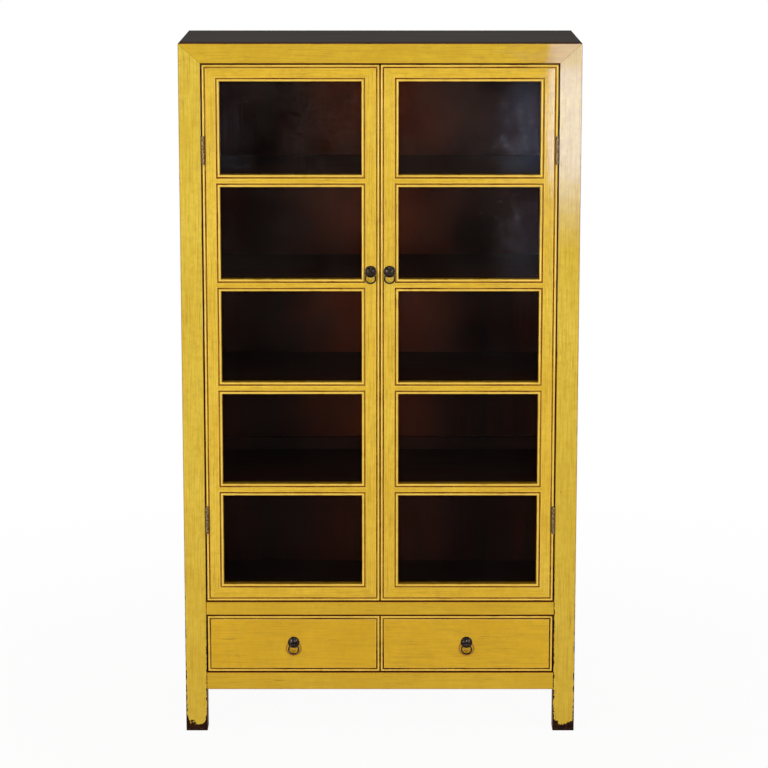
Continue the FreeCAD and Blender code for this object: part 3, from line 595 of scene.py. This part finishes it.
def edge_wear(tree, place, off_edge, low):
    """Short patches along the edges where the lacquer is rubbed through, wider by `low`."""
    ragged = add(tree, "MapRange", [marks(tree, place, 12 * MM, 5.0), 0.38, 0.70])
    patch = add(tree, "MapRange", [marks(tree, place, 70 * MM, 2.0), 0.50, 0.66, 0.0, 2.0 * MM])
    widest = add(tree, "Math", [patch, low], operation="ADD")
    reach = add(tree, "Math", [ragged, widest], operation="MULTIPLY")
    inside = add(tree, "Math", [reach, off_edge], operation="SUBTRACT")
    return add(tree, "MapRange", [inside, -0.2 * MM, 0.5 * MM])


def foot_wear(tree, place, off_edge, height):
    """Bare feet: a ragged line that rises in a U towards the corners of each leg."""
    nearness = add(tree, "MapRange", [off_edge, 16 * MM, 0.0])
    corner = add(tree, "Math", [nearness, 2.2], operation="POWER")
    line = add(tree, "Math", [corner, 34 * MM, 20 * MM], operation="MULTIPLY_ADD")
    wave = add(tree, "MapRange", [marks(tree, place, 22 * MM, 6.0), 0.32, 0.68, -13 * MM, 13 * MM])
    ragged = add(tree, "Math", [line, wave], operation="ADD")
    under = add(tree, "Math", [ragged, height], operation="SUBTRACT")
    return add(tree, "MapRange", [under, -1.0 * MM, 2.0 * MM])


MARK_RADIUS, SPOT_DROP = 19 * MM, 6.5 * MM


def ring_mark(tree, place):
    """An orange-brown arc and spot that the swinging ring has rubbed into the drawer front."""
    low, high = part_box("drawer_right_pull_ring")
    middle = (low + high) / 2
    mirrored = add(tree, "VectorMath", [place], operation="ABSOLUTE")
    flat = add(tree, "VectorMath", [mirrored, (1, 0, 1)], operation="MULTIPLY")
    hub, low_hub = (Vector((middle.x, 0, middle.z - drop)) for drop in (0, SPOT_DROP))
    away = add(tree, "VectorMath", [flat, hub], operation="DISTANCE").outputs["Value"]
    beyond = add(tree, "Math", [away, MARK_RADIUS], operation="SUBTRACT")
    off_arc = add(tree, "Math", [beyond], operation="ABSOLUTE")
    arc = add(tree, "MapRange", [off_arc, 2.4 * MM, 0.8 * MM, 0.0, 0.85])
    near = add(tree, "VectorMath", [flat, low_hub], operation="DISTANCE").outputs["Value"]
    spot = add(tree, "MapRange", [near, 6.5 * MM, 2 * MM, 0.0, 0.7])
    return add(tree, "Math", [arc, spot], operation="MAXIMUM")


# %% Put the lacquer together
def yellow_lacquer(name, grain, tones, glazed=None, feet=False, rubbed=False):
    material, tree, place = new_finish(name)
    coat, brush, relief = brushed_coats(tree, place, grain, tones)
    if rubbed:
        mark = ring_mark(tree, place)
        coat = add(tree, "Mix", [mark, coat, colour("#A4600C")], data_type="RGBA")
    coat = add(tree, "Mix", [bruises(tree, place), coat, colour("#4A260E")], data_type="RGBA")
    height = add(tree, "SeparateXYZ", [place]).outputs[2]
    if glazed:
        crest = add(tree, "Attribute", [], attribute_name="crest").outputs["Fac"]
        # Painted highlight: bead crests and rounded field edges are painted pale cream, partly
        # polishing.
        uneven = add(tree, "MapRange", [brush, 0.3, 0.7, 0.4, 0.9])
        crest_highlight = add(tree, "Math", [crest, uneven], operation="MULTIPLY")
        coat = add(tree, "Mix", [crest_highlight, coat, colour("#F0CC60")], data_type="RGBA")
        # Here `gone` is the share of glazing in the quirks and of painted shade on deeper faces;
        # `bare` holds their two tones.
        gone = glaze_and_reveal_shade(tree, place)
        bare = [colour(tone) for tone in glazed]
    else:
        off_edge = edge_distance(tree)
        stain = add(tree, "MapRange", [off_edge, 2.2 * MM, 0.4 * MM, 0.0, 0.85])
        coat = add(tree, "Mix", [stain, coat, colour("#7A3808")], data_type="RGBA")
        low = add(tree, "MapRange", [height, 0.6, 0.05, 0.0, 5.5 * MM]) if feet else 0.0
        gone = edge_wear(tree, place, off_edge, low)
        if feet:
            foot = foot_wear(tree, place, off_edge, height)
            gone = add(tree, "Math", [gone, foot], operation="MAXIMUM")
        bare = [colour("#140A07"), colour("#42200C")]
    chips = add(tree, "MapRange", [marks(tree, place, 5 * MM, 3.0), 0.46, 0.68])
    under = add(tree, "Mix", [chips, *bare], data_type="RGBA")
    surface = add(tree, "Mix", [gone, coat, under], data_type="RGBA")
    gloss = add(tree, "MapRange", [brush, 0.3, 0.7, 0.025, 0.05])
    rough = add(tree, "Mix", [gone, gloss, 0.55], data_type="FLOAT")
    shine = add(tree, "Mix", [gone, 0.2, 0.05], data_type="FLOAT")
    lost = add(tree, "Math", [gone, -0.2 * MM, relief], operation="MULTIPLY_ADD")
    bump = add(tree, "Bump", {"Height": lost, "Strength": 1.0, "Distance": 1.0})
    skin = {"Base Color": surface, "Roughness": rough, "Specular IOR Level": shine, "Normal": bump}
    add(tree, "OutputMaterial", {"Surface": add(tree, "BsdfPrincipled", skin)})
    return material


POST_TONES = ("#D0B234", "#DBC144")
RAIL_TONES = ("#C8A21C", "#D2B02A")
STILE_TONES = ("#D8B230", "#E2C242")
BAR_TONES = ("#D7AF26", "#E1BD36")
DRAWER_TONES = ("#CFA312", "#DAB022")
# Glazing tones, which also serve as painted shade on the deeper reveals and sills.
STILE_GLAZE_SHADE = ("#6A3206", "#B0700E")
BAR_GLAZE_SHADE = ("#501C02", "#A05A04")
DRAWER_GLAZE_SHADE = ("#300E02", "#7A3602")
lacquer_post = yellow_lacquer("yellow lacquer on posts", UPRIGHT, POST_TONES, feet=True)
lacquer_panel = yellow_lacquer("yellow lacquer on panels", UPRIGHT, POST_TONES)
lacquer_across = yellow_lacquer("yellow lacquer on front rails", ALONG_X, RAIL_TONES)
lacquer_deep = yellow_lacquer("yellow lacquer on side rails", ALONG_Y, RAIL_TONES)
lacquer_stile = yellow_lacquer("yellow lacquer on stiles", UPRIGHT, STILE_TONES, STILE_GLAZE_SHADE)
lacquer_bar = yellow_lacquer("yellow lacquer on door rails", ALONG_X, BAR_TONES, BAR_GLAZE_SHADE)
lacquer_drawer = yellow_lacquer(
    "yellow lacquer on drawers", ALONG_X, DRAWER_TONES, DRAWER_GLAZE_SHADE, rubbed=True
)
print("finishes:", [m.name for m in bpy.data.materials if m.name.startswith("yellow lacquer")])

# %% [markdown]
# ## Brown and black lacquer, bare wood
# Inside and behind, the cabinet has one thin coat of dark red-brown lacquer, through which the
# grain shows. In the upper middle of the back, a lighter, redder tone is painted in as the light
# that falls through the doors. The coat is redder in the gaps round doors and drawers, where it
# lies thicker. The top is a flat black lacquer, dulled by dust. The drawer boxes were never
# painted: they are bare, pale softwood. None of these is polished, so the eye finds grain and
# colour in them and no images of the lamps.


# %% Thin coats and bare wood
def thin_lacquer(name, grain, dark, light, rough, painted_glow=None):
    """One coat over visible grain. `painted_glow` is a lighter colour painted in as light, upper
    middle.
    """
    material, tree, place = new_finish(name)
    figure = streaks(tree, place, grain, 7 * MM, 260 * MM, 5.0)
    growth = add(tree, "MapRange", [figure, 0.34, 0.66])
    coat = add(tree, "Mix", [growth, colour(dark), colour(light)], data_type="RGBA")
    cloud = add(tree, "MapRange", [marks(tree, place, 300 * MM, 2.0), 0.35, 0.65, 0.0, 0.7])
    coat = add(tree, "Mix", [cloud, coat, colour(dark)], data_type="RGBA")
    if painted_glow:
        x, _, z = add(tree, "SeparateXYZ", [place]).outputs
        off_middle = add(tree, "Math", [x], operation="ABSOLUTE")
        cloud = marks(tree, place, 120 * MM)
        patchy = add(tree, "Math", [cloud, 0.5, off_middle], operation="MULTIPLY_ADD")
        middle = add(tree, "MapRange", [patchy, 0.54, 0.22])
        upper = add(tree, "MapRange", [z, 0.5, 1.0])
        glow_share = add(tree, "Math", [middle, upper], operation="MULTIPLY")
        # Painted light: a lighter, redder tone in the upper middle of the back, where light
        # through the doors falls.
        coat = add(tree, "Mix", [glow_share, coat, colour(painted_glow)], data_type="RGBA")
    pores = streaks(tree, place, grain, 1.4 * MM, 45 * MM, 2.0)
    dark_line = add(tree, "MapRange", [pores, 0.56, 0.72, 0.0, 0.7])
    coat = add(tree, "Mix", [dark_line, coat, colour("#0D0605")], data_type="RGBA")
    dull = add(tree, "MapRange", [figure, 0.3, 0.7, rough, rough + 0.15])
    height = add(tree, "Math", [dark_line, -0.1 * MM], operation="MULTIPLY")
    bump = add(tree, "Bump", {"Height": height, "Strength": 0.6, "Distance": 1.0})
    skin = {"Base Color": coat, "Roughness": dull, "Specular IOR Level": 0.08, "Normal": bump}
    add(tree, "OutputMaterial", {"Surface": add(tree, "BsdfPrincipled", skin)})
    return material


def flat_black():
    """Black lacquer gone matt, with dusty streaks along the boards and a brown front edge."""
    material, tree, place = new_finish("flat black lacquer")
    dust = streaks(tree, place, ALONG_X, 12 * MM, 400 * MM, 5.0)
    grey = add(tree, "MapRange", [dust, 0.32, 0.68])
    coat = add(tree, "Mix", [grey, colour("#544F4C"), colour("#6A6562")], data_type="RGBA")
    along = add(tree, "SeparateXYZ", [place]).outputs[1]
    rim = add(tree, "MapRange", [along, FRONT + 75 * MM, FRONT + 10 * MM, 0.0, 0.85])
    coat = add(tree, "Mix", [rim, coat, colour("#4A2C14")], data_type="RGBA")
    height = add(tree, "Math", [dust, 0.1 * MM], operation="MULTIPLY")
    bump = add(tree, "Bump", {"Height": height, "Strength": 0.5, "Distance": 1.0})
    skin = {"Base Color": coat, "Roughness": 0.7, "Specular IOR Level": 0.0, "Normal": bump}
    add(tree, "OutputMaterial", {"Surface": add(tree, "BsdfPrincipled", skin)})
    return material


brown_upright = thin_lacquer("brown lacquer, upright grain", UPRIGHT, "#34120A", "#662A18", 0.42)
brown_boards = thin_lacquer("faded brown lacquer", UPRIGHT, "#2C110A", "#481B10", 0.42, "#702E14")
brown_edge = thin_lacquer("brown lacquer on edges", UPRIGHT, "#4C200C", "#6E3616", 0.45)
red_edge = thin_lacquer("red-brown lacquer in the gaps", ALONG_X, "#6A1F0A", "#8A3A12", 0.45)
SHELF_BROWN = ("#220E09", "#3C160D", 0.36)
brown_across = thin_lacquer("brown lacquer, grain across", ALONG_X, *SHELF_BROWN)
brown_deep = thin_lacquer("brown lacquer, grain front to back", ALONG_Y, *SHELF_BROWN)
SOFTWOOD = ("#A67C4C", "#C29B66", 0.6)
bare_wood = thin_lacquer("bare softwood, grain front to back", ALONG_Y, *SOFTWOOD)
bare_across = thin_lacquer("bare softwood, grain across", ALONG_X, *SOFTWOOD)
black_top = flat_black()
print("all finishes so far:", len(bpy.data.materials))

# %% [markdown]
# ## Painting by face
# The painter only reached what shows. On the carcass, faces on the front plane and on the outer
# sides are yellow, the upper faces are black, and everything else is brown: the inside, the back,
# the inner faces of the legs and the walls of the cracks. The back boards are brown on both
# faces, with painted light on the inner one.


# %% Choose the finish of each face
YELLOW, BROWN, BLACK = 0, 1, 2
INSIDE_BACK = 0
FACING, SQUARE_ON = 0.6, 0.9
CARCASS_ARRIS = 1.2 * MM
FRONT_BAND, SIDE_BAND, TOP_BAND = 3 * MM, 8 * MM, 1 * MM


def paint_carcass(bm, cracks):
    for face in bm.faces:
        middle = face.calc_center_median()
        outward = math.copysign(1, middle.x) * face.normal.x
        on_front = face.normal.y < -FACING and middle.y < FRONT + FRONT_BAND
        on_side = outward > FACING and abs(middle.x) > SIDE - SIDE_BAND
        face.material_index = YELLOW if on_front or on_side else BROWN
        if face.normal.z > SQUARE_ON and middle.z > TOP - TOP_BAND:
            face.material_index = BLACK
    for face in cracks:
        face.material_index = BROWN


carcass_grain = {
    "post_front_left": (lacquer_post, brown_edge),
    "post_front_right": (lacquer_post, brown_edge),
    "post_back_left": (lacquer_post, brown_edge),
    "post_back_right": (lacquer_post, brown_edge),
    "top_rail_front": (lacquer_across, red_edge),
    "top_rail_back": (lacquer_across, brown_across),
    "top_rail_left": (lacquer_deep, brown_deep),
    "top_rail_right": (lacquer_deep, brown_deep),
    "middle_rail_front": (lacquer_across, red_edge),
    "bottom_rail_front": (lacquer_across, red_edge),
    "side_rails": (lacquer_deep, brown_deep),
    "side_panels": (lacquer_panel, brown_upright),
    "back_rails": (lacquer_across, brown_across),
    "back_panels": (brown_boards, brown_upright),
}
for node, (outside, inside) in carcass_grain.items():
    bm = merged_copy(node)
    eased = ease_edges(bm, node, CARCASS_ARRIS)
    cracks = open_joints(bm, node)
    bm.normal_update()
    note_sides(bm)
    paint_carcass(bm, cracks)
    if node == "back_panels":
        for face in bm.faces:
            # The inner face of the back boards takes the brown lacquer with painted light.
            face.material_index = INSIDE_BACK if face.normal.y < -FACING else BROWN
    slot = "brown_lacquer" if node.startswith("back_") else "yellow_lacquer"
    finish_piece(bm, node, [outside, inside, black_top])
    print(node, "free edges eased:", eased, "crack walls:", len(cracks))

# %% [markdown]
# ## Doors and drawer fronts
# Their mouldings are in the solids already. The glazing reads how far a point lies below the
# front face, so it settles in the quirks by itself; on the deeper reveals and sills its colour is
# painted shade. The edges that only show when a door is open are brown, and the back of a drawer
# front was left bare.


# %% Dress the doors and drawer fronts
BARE = 2
FRONT_ARRIS, MOULDING_DEPTH = 1.0 * MM, 20 * MM
AT_EDGE = 0.2 * MM


def paint_joinery(bm, low, high):
    """Yellow, but brown on the outer edges of the door or drawer."""
    for face in bm.faces:
        middle = face.calc_center_median()
        side, end = (abs(face.normal[i]) > SQUARE_ON for i in (0, 2))
        at_side = side and min(middle.x - low.x, high.x - middle.x) < AT_EDGE
        at_end = end and min(middle.z - low.z, high.z - middle.z) < AT_EDGE
        face.material_index = BROWN if at_side or at_end else YELLOW


def dressed_front(node):
    """A copy of a moulded piece with its rear edges eased."""
    bm = merged_copy(node)
    ease_edges(bm, node, FRONT_ARRIS, FRONT + MOULDING_DEPTH)
    bm.normal_update()
    note_crests(bm)
    return bm


for side in ("left", "right"):
    stiles = [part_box(f"door_{side}_{part}") for part in ("hinge_stile", "meeting_stile")]
    door_low = Vector([min(box[0][i] for box in stiles) for i in range(3)])
    door_high = Vector([max(box[1][i] for box in stiles) for i in range(3)])
    for part in ("hinge_stile", "meeting_stile", "top_rail", "bottom_rail", "muntins"):
        node = f"door_{side}_{part}"
        bm = dressed_front(node)
        paint_joinery(bm, door_low, door_high)
        coat = lacquer_stile if "stile" in part else lacquer_bar
        finish_piece(bm, node, [coat, red_edge])
    node = f"drawer_{side}_front"
    bm = dressed_front(node)
    paint_joinery(bm, *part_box(node))
    for face in bm.faces:
        if face.normal.y > FACING:
            face.material_index = BARE
    finish_piece(bm, node, [lacquer_drawer, red_edge, bare_across])
print("doors and drawer fronts dressed")

# %% [markdown]
# ## Inside
# Shelves, floor, cleats and the drawer boxes are plain boards, so easing their edges is enough,
# and the top panel is dressed with them. The grain of a drawer's sides runs front to back, and
# that of its back board runs across. The strips behind the panes are painted like the doors that
# they belong to. A hair of air keeps them off the glass, so that it is clear which face lies in
# front.

# %% Dress the inside
OFF_THE_GLASS = 0.1 * MM
OTHER_GRAIN = 1
INSIDE_ARRIS = 0.8 * MM
inside_finish = {
    "cabinet_floor": (brown_across, "brown_lacquer"),
    "shelf_1": (brown_across, "brown_lacquer"),
    "shelf_2": (brown_across, "brown_lacquer"),
    "shelf_3": (brown_across, "brown_lacquer"),
    "shelf_4": (brown_across, "brown_lacquer"),
    "shelf_cleats": (brown_deep, "brown_lacquer"),
    "door_stop": (brown_across, "brown_lacquer"),
    "drawer_divider": (bare_wood, "bare_wood"),
    "drawer_runners": (bare_wood, "bare_wood"),
    "drawer_left_box": (bare_wood, "bare_wood"),
    "drawer_right_box": (bare_wood, "bare_wood"),
    "drawer_left_bottom": (bare_wood, "bare_wood"),
    "drawer_right_bottom": (bare_wood, "bare_wood"),
    "door_left_glazing_beads": (lacquer_bar, "yellow_lacquer"),
    "door_right_glazing_beads": (lacquer_bar, "yellow_lacquer"),
    "top_panel": (black_top, "black_lacquer"),
}
for node, (coat, slot) in inside_finish.items():
    bm = merged_copy(node)
    ease_edges(bm, node, INSIDE_ARRIS)
    if node.endswith("_glazing_beads"):
        bmesh.ops.translate(bm, verts=bm.verts, vec=(0, OFF_THE_GLASS, 0))
    bm.normal_update()
    note_sides(bm)
    finishes = [coat]
    if node.endswith("_box"):
        finishes.append(bare_across)
        for face in bm.faces:
            face.material_index = OTHER_GRAIN if abs(face.normal.y) > FACING else 0
    if node.endswith("_glazing_beads"):
        finishes.append(lacquer_stile)
        for face in bm.faces:
            width, height = spans(face)
            face.material_index = OTHER_GRAIN if height > width else 0
    finish_piece(bm, node, finishes)
print("plain pieces dressed:", len(inside_finish))

# %% [markdown]
# ## Glass
# The panes are old drawn glass: thin, never quite flat and a little dusty. A full glass shader
# would need many light paths to show the dark inside, so the pane is a mix: nearly all of it
# simply lets light through, and a small share that grows at a flat angle is a mirror. Ripples and
# smears make the mirror uneven, so a lamp's image breaks up into clear and blurred patches. Dust
# scatters a trace of light, most on the upper panes, which a duster seldom reaches.


# %% Panes
GLASS_IOR, MIRROR_SHARE = 1.5, 0.032


def pane_glass():
    material, tree, place = new_finish("old window glass")
    film = add(tree, "MapRange", [marks(tree, place, 150 * MM, 3.0), 0.36, 0.62])
    grains = add(tree, "MapRange", [marks(tree, place, 7 * MM), 0.40, 0.62])
    dirt = add(tree, "Math", [film, grains], operation="MULTIPLY")
    waves = add(tree, "Math", [marks(tree, place, 9 * MM, 2.0), 0.1 * MM], operation="MULTIPLY")
    ripple = add(tree, "Bump", {"Height": waves, "Strength": 1.0, "Distance": 1.0})
    slant = add(tree, "Fresnel", {"IOR": GLASS_IOR})
    shine = add(tree, "Math", [slant, MIRROR_SHARE], operation="MULTIPLY")
    clear = add(tree, "BsdfTransparent", {"Color": colour("#E8E6E2")})
    smear = add(tree, "MapRange", [grains, 0.0, 1.0, 0.08, 0.01])
    bright = {"Color": colour("#FFFFFF"), "Roughness": smear, "Normal": ripple}
    mirror = add(tree, "BsdfGlossy", bright)
    pane = add(tree, "MixShader", [shine, clear, mirror])
    dust = add(tree, "BsdfDiffuse", {"Color": colour("#A8948C")})
    height = add(tree, "SeparateXYZ", [place]).outputs[2]
    above_reach = add(tree, "MapRange", [height, 0.9, 1.65, 0.004, 0.036])
    settled = add(tree, "Math", [dirt, above_reach], operation="MULTIPLY")
    dusty = add(tree, "MixShader", [settled, pane, dust])
    add(tree, "OutputMaterial", {"Surface": dusty})
    return material


glass = pane_glass()
for side in ("left", "right"):
    pane_mesh = nodes[f"door_{side}_glass"].data
    pane_mesh.materials.clear()
    pane_mesh.materials.append(glass)
print("panes glazed")

# %% [markdown]
# ## Iron and brass
# Both metals are old and dark. The iron was blackened in fire, so it keeps a mottled skin with a
# dull grey sheen. The hinges are brass gone brown, brighter where the barrels rub.


# %% Dark metals
def dark_metal(name, dark, light, rough):
    material, tree, place = new_finish(name)
    patina = marks(tree, place, 4 * MM)
    worn = add(tree, "MapRange", [patina, 0.4, 0.65])
    tone = add(tree, "Mix", [worn, colour(dark), colour(light)], data_type="RGBA")
    dull = add(tree, "MapRange", [patina, 0.3, 0.7, rough + 0.15, rough])
    height = add(tree, "Math", [patina, 0.06 * MM], operation="MULTIPLY")
    bump = add(tree, "Bump", {"Height": height, "Strength": 0.4, "Distance": 1.0})
    skin = {"Base Color": tone, "Metallic": 1.0, "Roughness": dull, "Normal": bump}
    add(tree, "OutputMaterial", {"Surface": add(tree, "BsdfPrincipled", skin)})
    return material


iron = dark_metal("blackened iron", "#100D0C", "#4A423C", 0.18)
brass = dark_metal("tarnished brass", "#3E3222", "#93805C", 0.35)
print("metals:", iron.name, "and", brass.name)

# %% [markdown]
# ## Hinges
# The hinge barrels, pins and screws are in the solids. Their copies only get eased edges, so that
# each knuckle catches the light.

# %% Dress the hinges
HINGE_ARRIS = 0.25 * MM
hinge_nodes = [node for node in nodes if "hinge_" in node and "stile" not in node]
for node in hinge_nodes:
    bm = merged_copy(node)
    ease_edges(bm, node, HINGE_ARRIS)
    bm.normal_update()
    finish_piece(bm, node, [brass])
print("hinge pieces:", hinge_nodes)

# %% [markdown]
# ## Ring pulls
# A pull is a domed iron plate, a split pin whose eye stands in front of it, and a ring that hangs
# in the eye. The plate and the ring are lathe shapes, so a half profile is spun round its axis.
# The pin is bent from flat strip: its eye is spun too, and its two ends are bent over behind the
# wood. Sizes come from the boxes of the solids, so the ring still hangs in the eye.


# %% Spin a profile
def spun(profile, centre, axis, turns=48):
    """A lathe shape from a closed profile of points (out from the axis, along the axis)."""
    bm = bmesh.new()
    axis = Vector(axis)
    rim = [bm.verts.new(centre + Vector((0, 0, r)) + axis * h) for r, h in profile]
    edges = [bm.edges.new((rim[i - 1], rim[i])) for i in range(len(rim))]
    turn = {"cent": centre, "axis": axis, "angle": math.tau, "steps": turns, "use_merge": True}
    bmesh.ops.spin(bm, geom=rim + edges, **turn)
    bmesh.ops.remove_doubles(bm, verts=bm.verts, dist=0.002 * MM)
    bmesh.ops.recalc_face_normals(bm, faces=bm.faces)
    return bm


def joined(pieces):
    """One bmesh of several."""
    whole = bmesh.new()
    for piece in pieces:
        carrier = bpy.data.meshes.new("carrier")
        piece.to_mesh(carrier)
        piece.free()
        whole.from_mesh(carrier)
        bpy.data.meshes.remove(carrier)
    return whole


# %% [markdown]
# The plate's rim is a rolled edge with a groove inside it, and its dome has a hole for the pin.
# Points of a profile are shares of the plate's radius and heights in millimetres.

# %% Plate, pin and ring
OUTWARD = Vector((0, -1, 0))
RIM = [(1.0, 0.0), (1.0, 0.9), (0.97, 1.45), (0.92, 1.7), (0.87, 1.5), (0.83, 1.0), (0.79, 1.3)]
DOME = [(0.72, 2.1), (0.6, 3.0), (0.45, 3.7), (0.3, 4.2), (0.18, 4.45), (0.145, 4.2), (0.14, 0.0)]
EYE_RADIUS, EYE_HOLE, EYE_HALF = 4.6 * MM, 2.55 * MM, 1.7 * MM
EYE_DROP = 3.6 * MM
SHANK_RADIUS = 2.0 * MM
CLINCH, LEAF = 1.6 * MM, (8 * MM, 2.5 * MM)


def dome_plate(centre, radius):
    return spun([(share * radius, h * MM) for share, h in RIM + DOME], centre, OUTWARD, 64)


def strip_eye(centre):
    """Flat strip bent round, its edges a little rounded."""
    soft = 0.5 * MM
    half = [(EYE_RADIUS, EYE_HALF - soft), (EYE_RADIUS - soft, EYE_HALF)]
    half += [(EYE_HOLE + soft, EYE_HALF), (EYE_HOLE, EYE_HALF - soft)]
    return spun(half + [(r, -h) for r, h in half[::-1]], centre, (1, 0, 0), 40)


def pin_shank(tip, length):
    """A round shank with a blunt tip, drawn from the tip backwards."""
    core = 0.05 * MM
    blunt = [(core, 0.0), (0.6 * SHANK_RADIUS, 0.0), (SHANK_RADIUS, -0.5 * MM)]
    return spun(blunt + [(SHANK_RADIUS, -length), (core, -length)], tip, OUTWARD, 24)


def bent_ends(centre, half_long, half_high):
    """The two ends of the pin behind the wood, bent apart and hammered flat like a leaf."""
    bm = bmesh.new()
    facing = Matrix.Translation(centre) @ Matrix.Rotation(math.pi / 2, 4, "X")
    leaf = facing @ Matrix.Diagonal((half_long, half_high, 1, 1))
    bmesh.ops.create_circle(bm, cap_ends=True, segments=20, radius=1.0, matrix=leaf)
    pushed = bmesh.ops.extrude_face_region(bm, geom=bm.faces[:])["geom"]
    moved = [item for item in pushed if isinstance(item, bmesh.types.BMVert)]
    bmesh.ops.translate(bm, verts=moved, vec=(0, -CLINCH, 0))
    bmesh.ops.recalc_face_normals(bm, faces=bm.faces)
    round_off(bm, corners(bm, 0.2 * MM), 0.3 * MM, 2)
    return bm


def round_wire(centre, radius, wire):
    """A ring of round wire."""
    angles = [math.tau * step / 16 for step in range(16)]
    section = [(radius + wire * math.cos(a), wire * math.sin(a)) for a in angles]
    return spun(section, centre, OUTWARD, 72)


# %% Fit the four pulls
for holder in ("door_left", "door_right", "drawer_left", "drawer_right"):
    node = holder + "_pull_plate"
    low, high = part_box(node)
    middle = (low + high) / 2
    radius = (high.x - low.x) / 2
    ring_y = low.y + EYE_RADIUS
    on_wood = Vector((middle.x, FRONT, middle.z))
    tip = Vector((middle.x, ring_y, middle.z))
    behind = Vector((middle.x, high.y, middle.z))
    eye = strip_eye(tip - Vector((0, 0, EYE_DROP)))
    shank = pin_shank(tip, high.y - ring_y - CLINCH / 2)
    ends = bent_ends(behind, *LEAF)
    plate = joined([dome_plate(on_wood, radius), eye, shank, ends])
    finish_piece(plate, node, [iron])
    node = holder + "_pull_ring"
    low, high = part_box(node)
    wire = (high.y - low.y) / 2
    ring = round_wire((low + high) / 2, (high.x - low.x) / 2 - wire, wire)
    finish_piece(ring, node, [iron])
    across = [round(2 * half / MM, 1) for half in (radius, wire)]
    print(holder, "plate and ring wire in mm:", across)

# %% [markdown]
# ## The dressed cabinet
# The box round the dressed cabinet is measured.

# %% Measure the box of the dressed cabinet
low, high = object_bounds()
